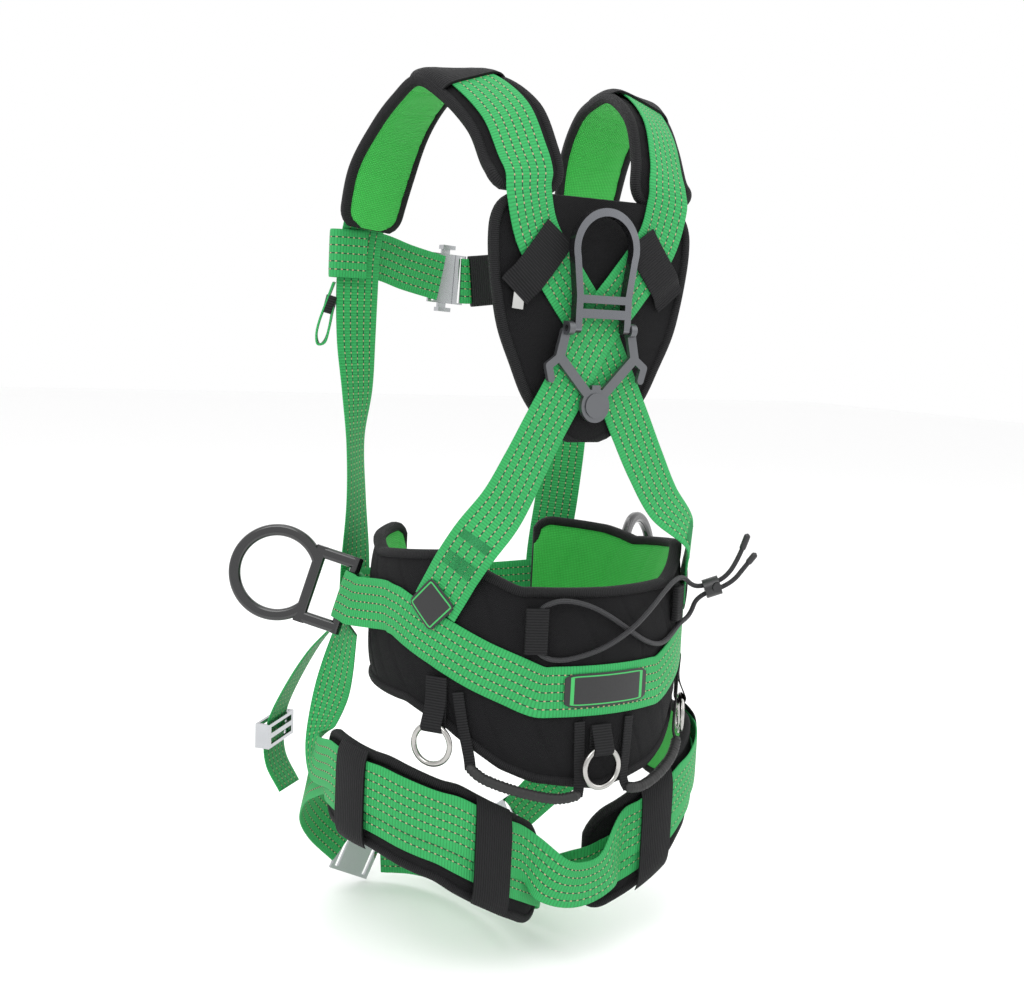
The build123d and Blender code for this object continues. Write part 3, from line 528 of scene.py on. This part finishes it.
def onBelt(around, z, lift=0.0, width=45.0, tilt=0.0):
    # off the outer face of the belt, an ellipse: 0 is the back and 90 the wearer's left
    a = np.radians(np.atleast_1d(np.asarray(around, float)))
    out = unit(np.stack([np.sin(a) / belt["halfWidth"], np.cos(a) / belt["halfDepth"], 0 * a], -1))
    depth = belt["forward"] + belt["halfDepth"] * np.cos(a)
    rim = np.stack([belt["halfWidth"] * np.sin(a), depth, z + 0 * a], -1)
    turn = np.degrees(np.arctan2(out[:, 0], -out[:, 1]))
    place = rim + out * np.reshape(lift + 0 * a, (-1, 1))
    return place, facing(turn, tilt), width + 0 * a


beltTop = np.array([(0, 62), (33, 63), (45, 76), (57, 91), (80, 85), (100, 80), (115, 87), (148, 92)], float)
beltBottom = np.array([(0, -117), (25, -107), (36, -96), (58, -62), (75, -48), (148, -42)], float)
strapHeight = np.array([(0, -26), (25, -26), (33, -17), (45, -5), (60, 12), (79, 31), (90, 34)], float)

aroundPad = np.arange(-belt["end"], belt["end"] + 1, 4)
top = np.interp(abs(aroundPad), *beltTop.T)
bottom = np.interp(abs(aroundPad), *beltBottom.T)
beltRows = onBelt(aroundPad, (top + bottom) / 2, -belt["thick"] / 2, 45.0)
beltRows = (beltRows[0], beltRows[1], top - bottom)
beltStrip = Strip(beltRows, upright=range(len(aroundPad)))
pad("beltPad", beltStrip, belt["thick"], belt["corner"], belt["quilt"], belt["quiltSlant"],
    nodes=["belt_pad"], count=88)

ringPivot = np.array([156.0, -34.0, 29.0])
ringBar = unit(np.array([-0.29, 0.05, 0.956]))
foldRadius = 7.1
barOut = unit(np.cross((0, 1, 0), ringBar))
barBack = np.cross(ringBar, barOut)


def foldRoundBar(side):
    # comes off the belt, passes outside the ring's bar and returns inside it
    a = np.radians(np.arange(7) * 30.0)[:, None]
    turned = barOut * np.cos(a) - barBack * np.sin(a)
    back = np.array([28.0, 16.0, 8.0])[:, None]
    place = np.concatenate([
        ringPivot + barOut * foldRadius + barBack * back, ringPivot + turned * foldRadius,
        [ringPivot - barOut * foldRadius + barBack * 12],
    ])
    face = np.concatenate([np.repeat(barOut[None], 3, 0), turned, [-barOut]])
    return sided((place, face, np.full(len(place), 45.0)), side)


aroundStrap = np.arange(-88, 89, 4)
beltLift = gap + strapThick / 2
beltBand = onBelt(aroundStrap, np.interp(abs(aroundStrap), *strapHeight.T), beltLift)
wholeBelt = joined(backwards(foldRoundBar(-1)), beltBand, foldRoundBar(1))
beltWebbing = ribbon("beltWebbing", Strip(wholeBelt), strapThick, greenWebbing)
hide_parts("belt_webbing")
print("belt made")

# The yoke: back pad, shoulder pads and the two straps that cross on the back.
yoke = {"backFace": 117.0, "padThick": 13.0, "backCorner": 7.0, "backQuilt": 60.0, "backSlant": 0.3,
        "shoulderWidth": 70.0, "shoulderCorner": 16.0, "shoulderQuilt": 34.0}
backKeepers = {"thick": 1.6, "width": 34.0}
shoulderKeepers = {"thick": 2.2, "width": 71.0, "lift": -5.6, "swell": 8.2}
backFace = yoke["backFace"]
padThick = yoke["padThick"]
lowerPly = backFace + beltLift
shoulderUp = [
    (113.8, -102.6, 2, 24, 0), (113.8, -102.6, 46, 26, 0), (118, -97, 110, 40, 0), (122, -95, 168, 42, 0),
    (122, -95, 217, 24, 0), (125, -95, 264, 10, 0), (126, -95, 312, 3, 2), (126, -93, 345, 4, 3),
    (124, -90, 370, 5, 4), (119, -78, 420, 8, 14), (113, -55, 463, 18, 36), (107, -24, 492, 30, 62),
    (100, 10, 505, 60, 84), (93, 46, 497, 120, 70), (83, 88, 468, 152, 42), (77, 110, 432, 166, 16),
    (74, lowerPly - 1.4, 415, 174, 5), (74, lowerPly, 399, 180, 0),
]
overBack = [
    (63, 0, 363, 180, 0), (31, 0, 322, 180, 0), (0, 0, 284, 180, 0), (-25, 0, 240, 180, 0),
    (-47, 0, 200, 180, 0), (-66, 1, 165, 184, 0), (-88, 3, 130, 196, 0),
]
overPly = (0.3, 1, 1, 1, 0.35, 0, 0)   # how far the upper strap stands off at each of those
hipEnd = [onBelt(48, 102, beltLift + 3), onBelt(54, 78, beltLift + 1.4), onBelt(58, 60, beltLift + 0.3)]
hipEnd.append(onBelt(62, 42, beltLift + 0.3))
backOutline = np.array([
    (398, 62), (395.5, 82), (388, 97), (376, 104), (360, 105.5), (340, 104), (310, 99), (283, 92),
    (255, 79), (226, 64), (205, 45), (190, 22), (186.5, 8),
], float)
backHeight, backHalf = backOutline.T
backPlace = np.column_stack([0 * backHeight, 0 * backHeight + backFace - padThick / 2, backHeight])
backRows = (backPlace, facing(0 * backHeight + 180.0), 2 * backHalf)
pad("backPad", Strip(backRows), padThick, yoke["backCorner"], yoke["backQuilt"], yoke["backSlant"],
    nodes=["back_pad"], count=72)

shoulderStrips = {}
for side, name in ((1, "Left"), (-1, "Right")):
    crossing = [(x, lowerPly + y + (ply * k if side < 0 else 0), z, turn, tilt)
                for (x, y, z, turn, tilt), k in zip(overBack, overPly)]
    path = joined(sided(rows(shoulderUp + crossing), side), sided(joined(*hipEnd), -side))
    strip = Strip(path)
    shoulderStrips[name] = strip
    strap = ribbon("shoulderStrap" + name, strip, strapThick, greenWebbing)
    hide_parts("shoulder_strap_" + name.lower())

    padRows = rows(shoulderUp[8:], yoke["shoulderWidth"])
    padRows[2][0] = 62
    padRows[0][-1] = (74, lowerPly, 399)
    padRows[2][-1] = 64
    lowered = padRows[0] - padRows[1] * (beltLift + padThick / 2 + 0.3)
    padStrip = Strip(sided((lowered, padRows[1], padRows[2]), side))
    pad("shoulderPad" + name, padStrip, padThick, yoke["shoulderCorner"], yoke["shoulderQuilt"],
        nodes=["shoulder_pad_" + name.lower()])

    # black webbing across the strap where it comes off the pad
    stand = lowerPly + (ply * 1.6 if side < 0 else ply)
    low = backFace + gap + 0.8
    keeperRows = rows([
        (84, low, 314, 180, 0), (80, low, 319, 180, 0), (73, stand, 327, 180, 0),
        (60, stand + 0.4, 343, 180, 0), (50, stand, 356, 180, 0), (42, stand, 367, 180, 0),
    ], backKeepers["width"])
    keeper = ribbon("backKeeper" + name, Strip(sided(keeperRows, side)), backKeepers["thick"], blackWebbing)
    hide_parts("back_keeper_" + name.lower())

    # the sleeve round strap and pad on top of the shoulder
    near = np.linalg.norm(strip.place - np.array([side * 98, 18, 504]) * mm, axis=1).argmin()
    window = slice(near - 5, near + 12)
    sleeve = Strip((strip.place[window] / mm, strip.face[window], np.full(17, 72.0)))
    shoulderKeeper = ribbon("shoulderKeeper" + name, sleeve, shoulderKeepers["thick"], blackWebbing,
                            shoulderKeepers["lift"], shoulderKeepers["width"], 32,
                            shoulderKeepers["swell"])
    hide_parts("shoulder_keeper_" + name.lower())
print("yoke made")

# The chest strap, in two halves that meet at the buckle.
chest = {"keeperThick": 6.8, "keeperWidth": 51.0}
chestLeft = rows([(24, -115, 329, 0, 0), (64, -112, 337, 0, 0), (96, -108, 345, 0, 0)])
chestRight = rows([
    (1, -115, 327.5, 0, 0), (-8, -115, 327.5, 0, 0), (-37, -114, 331, 0, 0), (-72, -111, 339, 0, 0),
    (-96, -108, 345, 0, 0),
])


def chestLoop(side):
    # outside the shoulder strap, round its outer edge and back inside
    turns = [(-2, -7.2, 0), (14, -6.2, 2), (24, -6, 8), (28.9, -3, 50), (29.5, 0, 90), (28.9, 3.6, 130)]
    turns += [(24, 6.6, 172), (12, 7, 180), (-4, 6.8, 180)]
    return sided(rows([(126 + x, -93 + y, 345, turn, 0) for x, y, turn in turns]), side)


chestStrips = {}
for part, side, name in ((chestLeft, 1, "Left"), (chestRight, -1, "Right")):
    chestStrips[name] = Strip(joined(part, chestLoop(side)))
    strap = ribbon("chestStrap" + name, chestStrips[name], strapThick, greenWebbing)
    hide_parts("chest_strap_" + name.lower())
keeperStrip = Strip(rows([(-10, -115, 327.5, 0, 0), (-22, -114.6, 329, 0, 0), (-34, -114.1, 330.6, 0, 0)]))
chestKeeper = ribbon("chestKeeper", keeperStrip, chest["keeperThick"], blackWebbing, 0.0,
                     chest["keeperWidth"], 24)
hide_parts("chest_keeper")

# The waist straps and the leg loops.
waistStart = ringPivot - barOut * (foldRadius + ply) + np.array([0, 3, 0])
startRow = (waistStart[None], barOut[None], np.array([45.0]))
waistFront = [(144.6, -45, 28, 82, 16), (136, -74, 26, 55, 6), (112, -98.6, 20, 22, 0), (72, -113, 16, 9, 0)]
leg = {"radius": 106.0, "apart": 82.0, "forward": 25.0, "padThick": 12.0, "padWidth": 84.0, "corner": 26.0,
       "quilt": 40.0}
legKeepers = {"places": ((16, "Front"), (86, "Back")), "thick": 1.8, "width": 87.0, "lift": -5.0,
              "swell": 5.6}
legHeight = np.array([
    (-40, -125.3), (-30, -126), (0, -128), (30, -135), (65, -157), (100, -192), (132, -222),
], float)


def onLeg(around, lift=0.0, up=0.0, width=45.0):
    # off the outer face of the left leg pad, a circle whose height falls towards the back
    around = np.atleast_1d(np.asarray(around, float))
    a = np.radians(around)
    out = np.stack([np.cos(a), np.sin(a), 0 * a], -1)
    fall = np.interp(around + 5, *legHeight.T) - np.interp(around - 5, *legHeight.T)
    stretch = np.sqrt(1 + (fall / np.radians(10) / leg["radius"]) ** 2)
    height = np.interp(around, *legHeight.T) + up * stretch
    middle = np.stack([leg["apart"] + 0 * a, leg["forward"] + 0 * a, height], -1)
    return middle + out * (leg["radius"] + lift), facing(around + 90), width * stretch


legPly = gap + strapThick / 2
aroundLeg = np.arange(-21, 124, 9)
toBuckle = rows([
    (175, -60, -152, 52, -2), (164, -90, -182, 40, -4), (138, -113, -214, 22, -4), (104, -122, -246, 8, 0),
])
pastBuckle = rows([
    (64, -120, -262, -10, 0), (40, -98, -260, -38, 0), (24, -62, -258, -68, 0), (16, -18, -254, -88, 0),
    (15, 30, -246, -98, 0), (18, 70, -235, -114, 0), (20, 96, -226, -132, 0),
])
legStrapRows = joined(backwards(toBuckle), onLeg(aroundLeg, legPly, -3.0), backwards(pastBuckle))
seatTop = waistStart - ringBar * (22.5 + 4.4 * gap)
onPad = onLeg(np.arange(-3, 106, 9), legPly + ply, 14.0)
seatHalf = joined(
    (seatTop[None], barOut[None], np.array([45.0])),
    rows([(158, -50, -58, 108, 4), (170, -49, -98, 100, 8), (186, -28, -119, 86, 4)]),
    onPad, rows([(30, 146, -204, 172, -6)]),
)
seatRows = joined(seatHalf, rows([(0, 148, -212, 180, -8)]), backwards(mirrored(seatHalf)))
seatUpright = list(range(4, 4 + len(onPad[0])))
seatUpright += [len(seatRows[0]) - 1 - k for k in seatUpright]
seat = ribbon("seatStrap", Strip(seatRows, seatUpright), strapThick, greenWebbing)
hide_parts("seat_strap")
riser = rows([
    (138, -78, -0.6, 54, 0), (160, -96, -36, 50, 4), (182, -110, -86, 46, 6), (188, -116, -116, 42, 0),
    (186, -116, -146, 42, -8), (176, -104, -172, 42, -10),
])
for side, name in ((1, "Left"), (-1, "Right")):
    low = name.lower()
    tail = [(27, -120, 14, 0, 0)] if side > 0 else [(30, -120, 14, 0, 0), (-4, -120, 14, 0, 0)]
    waistPath = Strip(sided(joined(startRow, rows(waistFront + tail)), side))
    waist = ribbon("waistStrap" + name, waistPath, strapThick, greenWebbing)
    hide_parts("waist_strap_" + low)

    padRows = onLeg(aroundLeg, -leg["padThick"] / 2, 0, leg["padWidth"])
    legStrip = Strip(sided(padRows, side), upright=range(len(aroundLeg)))
    pad("legPad" + name, legStrip, leg["padThick"], leg["corner"], leg["quilt"],
        nodes=["leg_pad_" + low], count=60)

    upright = range(len(toBuckle[0]), len(toBuckle[0]) + len(aroundLeg))
    legStrap = ribbon("legStrap" + name, Strip(sided(legStrapRows, side), upright), strapThick, greenWebbing)
    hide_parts("leg_strap_" + low)
    front = ribbon("frontRiser" + name, Strip(sided(riser, side)), strapThick, greenWebbing)
    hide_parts("front_riser_" + low)
    for around, mark in legKeepers["places"]:
        window = onLeg(np.arange(around - 9, around + 10, 3), legPly + 2 * ply, 1.0, legKeepers["width"])
        sleeve = Strip(sided(window, side), upright=range(7))
        keeper = ribbon("legKeeper" + mark + name, sleeve, legKeepers["thick"], blackWebbing,
                        legKeepers["lift"], None, 32, legKeepers["swell"])
        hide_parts("leg_keeper_" + mark.lower() + "_" + low)
print("leg loops made")

# Gear tabs, gear loops, and the sleeves that hold the lacing cord.
tab = {"width": 20.0, "thick": 1.4, "loop": 4.75}
gearHinges = {"left": (60, -62, -18.5), "back": (2, -79, -56.5), "right": (-60, -62, -18.5)}
for name, (around, hingeZ, topZ) in gearHinges.items():
    base, out, _ = onBelt(around, 0.0)
    base, out = base[0], unit(out[0] * (1, 1, 0))
    up = np.array([0, 0, 1.0])
    outer = gap + tab["thick"] * 1.5 + gap
    hinge = base + out * (gap + tab["thick"] / 2 + tab["loop"]) + up * hingeZ
    a = np.radians(np.arange(-1, 7) * 30.0)[:, None]
    turned = out * np.cos(a) - up * np.sin(a)
    place = np.concatenate([
        [base + out * outer + up * topZ], [base + out * outer + up * (hingeZ + 20)],
        hinge + turned * tab["loop"],
        [base + out * (gap + tab["thick"] / 2) + up * (topZ - 2)],
    ])
    face = np.concatenate([[out, out], turned, [-out]])
    tabStrip = Strip((place, face, np.full(len(place), tab["width"])), spacing=1.2)
    piece = ribbon("gearTab" + name.capitalize(), tabStrip, tab["thick"], blackWebbing)
    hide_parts("gear_tab_" + name)


def splineThrough(points, name):
    # the smooth line that these control points draw, read from a curve with no bevel
    curve = bpy.data.curves.new(name, "CURVE")
    curve.dimensions = "3D"
    curve.resolution_u = 10
    spline = curve.splines.new("NURBS")
    spline.points.add(len(points) - 1)
    for point, place in zip(spline.points, points):
        point.co = (*place, 1)
    spline.order_u = 3
    spline.use_endpoint_u = True
    holder = bpy.data.objects.new(name, curve)
    bpy.context.scene.collection.objects.link(holder)
    mesh = bpy.data.meshes.new_from_object(holder.evaluated_get(bpy.context.evaluated_depsgraph_get()))
    line = np.array([v.co for v in mesh.vertices], float)
    bpy.data.objects.remove(holder)
    bpy.data.meshes.remove(mesh)
    return line


def hose(name, line, radius, finish, count=18, ribs=None):
    # a circle carried along the line; ribs swell it where the distance along says so
    step = np.linalg.norm(np.diff(line, axis=0), axis=1)
    walked = np.concatenate([[0], np.cumsum(step)])
    even = np.linspace(0, walked[-1], max(int(walked[-1] / (radius * 0.35)), 12))
    line = np.stack([np.interp(even, walked, column) for column in line.T], -1)
    tangent = unit(np.gradient(line, axis=0))
    side = unit(np.cross(tangent, (0.13, 0.31, 0.94)))
    other = np.cross(tangent, side)
    a = np.linspace(0, 2 * pi, count, endpoint=False)
    size = radius * (np.ones(len(even)) if ribs is None else 1 + ribs(even))
    near = np.minimum(even, even[-1] - even) / radius
    size = size * np.sqrt(np.clip(1 - np.clip(1 - near, 0, 1) ** 2, 0.02, 1))
    ring = side[:, None] * np.cos(a)[:, None] + other[:, None] * np.sin(a)[:, None]
    points = line[:, None] + ring * size[:, None, None]
    across = np.repeat(np.linspace(0, 1, count + 1)[None], len(even), 0)
    return makeSurface(name, points, across, even, [finish])


grip = {"radius": 4.6, "ribHeight": 0.09, "ribSpacing": 1.9, "tapeWidth": 10.0, "tapeThick": 2.0}
gripRoute = [(47, -92), (44, -101), (37, -108), (29, -114), (21, -119), (14, -121), (9, -117)]
gripLift = gap + 5.0
gearTapes = {
    "Outer": ((52, -30), (50, -56), (47, -86), (46, -96)),
    "Inner": ((10, -53), (9.5, -84), (9, -110), (10, -119)),
}


def gripRibs(s):
    # a sine along the grip, squared off by a small power
    wave = np.sin(s / (grip["ribSpacing"] * mm) * pi)
    return grip["ribHeight"] * np.sign(wave) * np.abs(wave) ** 0.4


for side, name in ((1, "Left"), (-1, "Right")):
    centre = np.concatenate([onBelt(side * a, z, gripLift)[0] for a, z in gripRoute]) * mm
    line = splineThrough(centre, "gripLine")
    piece = hose("gearGrip" + name, line, grip["radius"] * mm, gripPlastic, 20, gripRibs)
    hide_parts("gear_loop_" + name.lower())
    for mark, ends in gearTapes.items():
        lifts = (1.8, 1.8, 1.9, gripLift)
        parts = [onBelt(side * a, z, lift, grip["tapeWidth"]) for (a, z), lift in zip(ends, lifts)]
        ribbon("gearTape" + mark + name, Strip(joined(*parts)), grip["tapeThick"], blackWebbing)

cordSleeves = {"left": (26.5, 48.0, 8.0), "right": (-38.0, 56.0, 24.0)}   # around the belt, top and bottom
cordSleeve = {"thick": 6.6, "width": 20.0}
for name, (at, high, low) in cordSleeves.items():
    levels = (high, (high + low) / 2, low)
    parts = joined(*[onBelt(at, z, cordSleeve["thick"] / 2, cordSleeve["width"]) for z in levels])
    piece = ribbon("cordSleeve" + name.capitalize(), Strip(parts), cordSleeve["thick"], blackWebbing,
                   0.0, None, 28)
    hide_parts("cord_sleeve_" + name)

# The elastic lacing cord crosses itself on the back of the belt and goes through its lock.
cord = {"diameter": 4.5, "lift": gap + 2.25, "over": 5.5, "tip": 3.1}
lockAt = np.array([-137.0, 140.0, 52.0])
lockUp = unit(np.array([-0.75, 0.5, 0.35]))
lockSide = unit(np.array([0, 0, 1.0]) - lockUp * lockUp[2]) * 3.4


def laid(around, z, over=0.0):
    return onBelt(around, z, cord["lift"] + over)[0][0]


over = cord["over"]
route = [lockAt + (-25, 17, 52), lockAt + (-21, 14, 34)]
route += [lockAt + lockUp * 15 + lockSide, lockAt - lockUp * 9 + lockSide]
route += [laid(-47, 53, 8), laid(-42, 63, 1.5), laid(-34, 63), laid(-25, 54)]
route += [laid(-16, 42, over * 0.6), laid(-7, 27, over), laid(3, 12, over * 0.6), laid(12, 4), laid(19, 1.5)]
route += [laid(24, 5), laid(26.8, 13), laid(27.3, 27), laid(26.9, 41), laid(24.3, 50)]
route += [laid(18.5, 55), laid(10, 51), laid(2, 41), laid(-7, 26), laid(-16, 12), laid(-25, 6), laid(-33, 11)]
route += [laid(-40, 19, 1), laid(-47, 25, 8)]
route += [lockAt - lockUp * 16 - lockSide, lockAt + lockUp * 17 - lockSide]
route += [lockAt + (-26, 16, 22), lockAt + (-33, 21, 34)]
cordLine = splineThrough(np.array(route) * mm, "cordLine")
elasticCord = hose("elasticCord", cordLine, cord["diameter"] / 2 * mm, elastic)
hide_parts("elastic_cord")
for mark, ends in (("A", cordLine[:6]), ("B", cordLine[-6:])):
    hose("cordTip" + mark, ends, cord["tip"] * mm, lockPlastic)
print("lacing made")

# The loop for a lanyard, folded over at the bottom.
loopRows = rows([
    (148.4, -99, 318, 60, 0), (153.4, -103, 300, 62, 6), (158.4, -107, 282, 64, 4),
    (160.4, -109, 268, 64, -20),
    (158.4, -108, 259, 64, -80), (153.4, -105, 262, 244, 20), (150.4, -103, 274, 244, -4),
    (147.4, -101, 296, 242, -8),
], 22.0)
loop = ribbon("lanyardLoop", Strip(loopRows, spacing=1.5), strapThick, greenWebbing)
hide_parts("lanyard_loop")

# sewn bars across the ends of straps, a black sleeve on the loop and a bare tag
sewing = {"thread": 0.3, "stitch": 3.0, "rows": 9, "width": 30.0}


def sewnBar(name, strip, start, end):
    # a triangle wave across the strip while the place along it goes from start to end
    t = np.linspace(0, 1, sewing["rows"] * 24)
    wave = 2 * np.abs((t * sewing["rows"]) % 1 - 0.5) * 2 - 1
    along, across = (start + (end - start) * t) * mm, wave * sewing["width"] / 2 * mm
    line = strip.at(along, across, (strapThick / 2 + 0.15) * mm)
    hose(name, line, sewing["thread"] * mm, threadFinish, 8,
         lambda s: 0.3 * np.sin(s / (sewing["stitch"] * mm) * 2 * pi))


for name, strip in shoulderStrips.items():
    last = strip.length / mm
    sewnBar("hipSeam" + name, strip, last - 52, last - 38)
    sewnBar("yokeSeam" + name, strip, last - 74, last - 66)
for name, strip in chestStrips.items():
    first = 52 if name == "Left" else 77
    sewnBar("chestSeam" + name, strip, first, first + 9)
    sewnBar("chestSeamOuter" + name, strip, first + 14, first + 23)
extras = {"sleeveThick": 10.4, "sleeveWidth": 24.0, "tagThick": 0.8, "tagWidth": 11.0}
sleeveRows = rows([(148.8, -101.4, 305, 61, 2), (150.4, -102.6, 297, 62, 5), (152.0, -103.8, 289, 63, 5)])
ribbon("loopSleeve", Strip(sleeveRows), extras["sleeveThick"], blackWebbing, 0.0,
       extras["sleeveWidth"], 24)
tagRows = rows([(78, 118.4, 322, 180, 0), (79, 118.6, 312, 180, 0), (80, 118.4, 300, 180, 0)])
ribbon("bareTag", Strip(tagRows), extras["tagThick"], paleTag, 0.0, extras["tagWidth"], 16)
print("sewing made")

# Bare patches bent round the belt.
def patch(name, around, z, wide, tall, turn, lift, thick=1.6, slot="label_rubber"):
    # a rounded slab bent round the belt: the section runs up it, and its halves come in at both ends
    x, y = superRing(28, 0.3, 0.6)
    s = np.linspace(-1, 1, 25)
    ends = (1 - np.abs(s) ** 10 * 0.25)[:, None]
    u = wide / 2 * s[:, None] + 0 * x
    v = tall / 2 * x * ends
    t = np.radians(turn)
    level = z + u * np.sin(t) + v * np.cos(t)
    angle = around + np.degrees((u * np.cos(t) - v * np.sin(t)) / 148.0)
    place, normal, _ = onBelt(angle.ravel(), level.ravel(), lift)
    points = (place + normal * (thick / 2 * np.tile(y, 25))[:, None]).reshape(25, 28, 3) * mm
    across = np.concatenate([np.repeat(x[None], 25, 0), np.repeat(x[None, :1], 25, 0)], 1)
    return makeSurface(name, points, across, s, [patchRubber])


patches = {   # around the belt, height, width, tallness, turn, lift
    "backPatch": (0.0, -25.0, 84.0, 30.0, 0.0, 4.0),
    "hipPatchLeft": (63.0, 44.0, 34.0, 34.0, 45.0, 5.2),
    "hipPatchRight": (-63.0, 44.0, 34.0, 34.0, 45.0, 5.2),
}
for name, values in patches.items():
    patch(name, *values)
print("patches made")

# Finishes of the hard parts, by the start of the node's name.
hardware = {
    "side_ring_": ringCoat, "dorsal_ring": dorsalSteel, "dorsal_plate": greyPlate, "gear_ring_": ringSteel,
    "chest_frame": chrome, "chest_tongue": chrome,
    "chest_lever": chrome, "waist_": chrome, "leg_slide_": chrome,
    "leg_buckle_": chrome, "cord_lock_": lockPlastic,
}
for node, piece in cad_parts.items():
    for start, finish in hardware.items():
        if node.startswith(start) and not piece.hide_render:
            piece.data.materials.clear()
            piece.data.materials.append(finish)

# The camera, the lamps and the floor.
camera = {"place": (0.7553, 1.1788, 0.286), "look": (-0.5356, -0.8360, -0.1196), "roll": 2.81, "lens": 51.6}


def aimed(place, look, roll=0.0):
    back = -Vector(look).normalized()
    right = Vector((0, 0, 1)).cross(back).normalized()
    turn = Matrix((right, back.cross(right), back)).transposed().to_4x4()
    return Matrix.Translation(place) @ turn @ Matrix.Rotation(roll, 4, "Z")


lens = bpy.data.cameras.new("camera")
lens.lens = camera["lens"]
lens.sensor_width = 36.0
eye = bpy.data.objects.new("camera", lens)
bpy.context.scene.collection.objects.link(eye)
eye.matrix_world = aimed(camera["place"], camera["look"], np.radians(camera["roll"]))
bpy.context.scene.camera = eye

studio = {
    "floorHeight": cadBox[0][2] - 0.002,
    "floorReach": 9.0,
    "surround": 1.0,
    "lamps": {
        "key": ((1.6, 1.3, 2.1), 1.6, 26.0),
        "fill": ((-1.9, 1.2, 1.2), 2.0, 14.0),
        "front": ((0.3, -2.0, 1.6), 2.0, 16.0),
        "top": ((0.0, 0.2, 2.6), 1.8, 14.0),
    },
}
for name, (place, size, power) in studio["lamps"].items():
    light = bpy.data.lights.new(name, "AREA")
    light.size = size
    light.energy = power
    lamp = bpy.data.objects.new(name, light)
    bpy.context.scene.collection.objects.link(lamp)
    lamp.matrix_world = aimed(place, Vector((0, 0, 0.1)) - Vector(place))
world = bpy.data.worlds.new("studio")
world.use_nodes = True
world.node_tree.nodes["Background"].inputs[0].default_value = (1.0, 1.0, 1.0, 1)
world.node_tree.nodes["Background"].inputs[1].default_value = studio["surround"]
bpy.context.scene.world = world
bpy.context.scene.view_settings.view_transform = "Standard"
floorMesh = bpy.data.meshes.new("floor")
reach = studio["floorReach"]
height = studio["floorHeight"]
corners = [(-reach, -reach, height), (reach, -reach, height), (reach, reach, height), (-reach, reach, height)]
floorMesh.from_pydata(corners, [], [(0, 1, 2, 3)])
paleFloor = Finish("paleFloor", (0.97, 0.97, 0.97), 0.9)
floorMesh.materials.append(paleFloor.material)
floor = bpy.data.objects.new("floor", floorMesh)
bpy.context.scene.collection.objects.link(floor)
print("studio made")
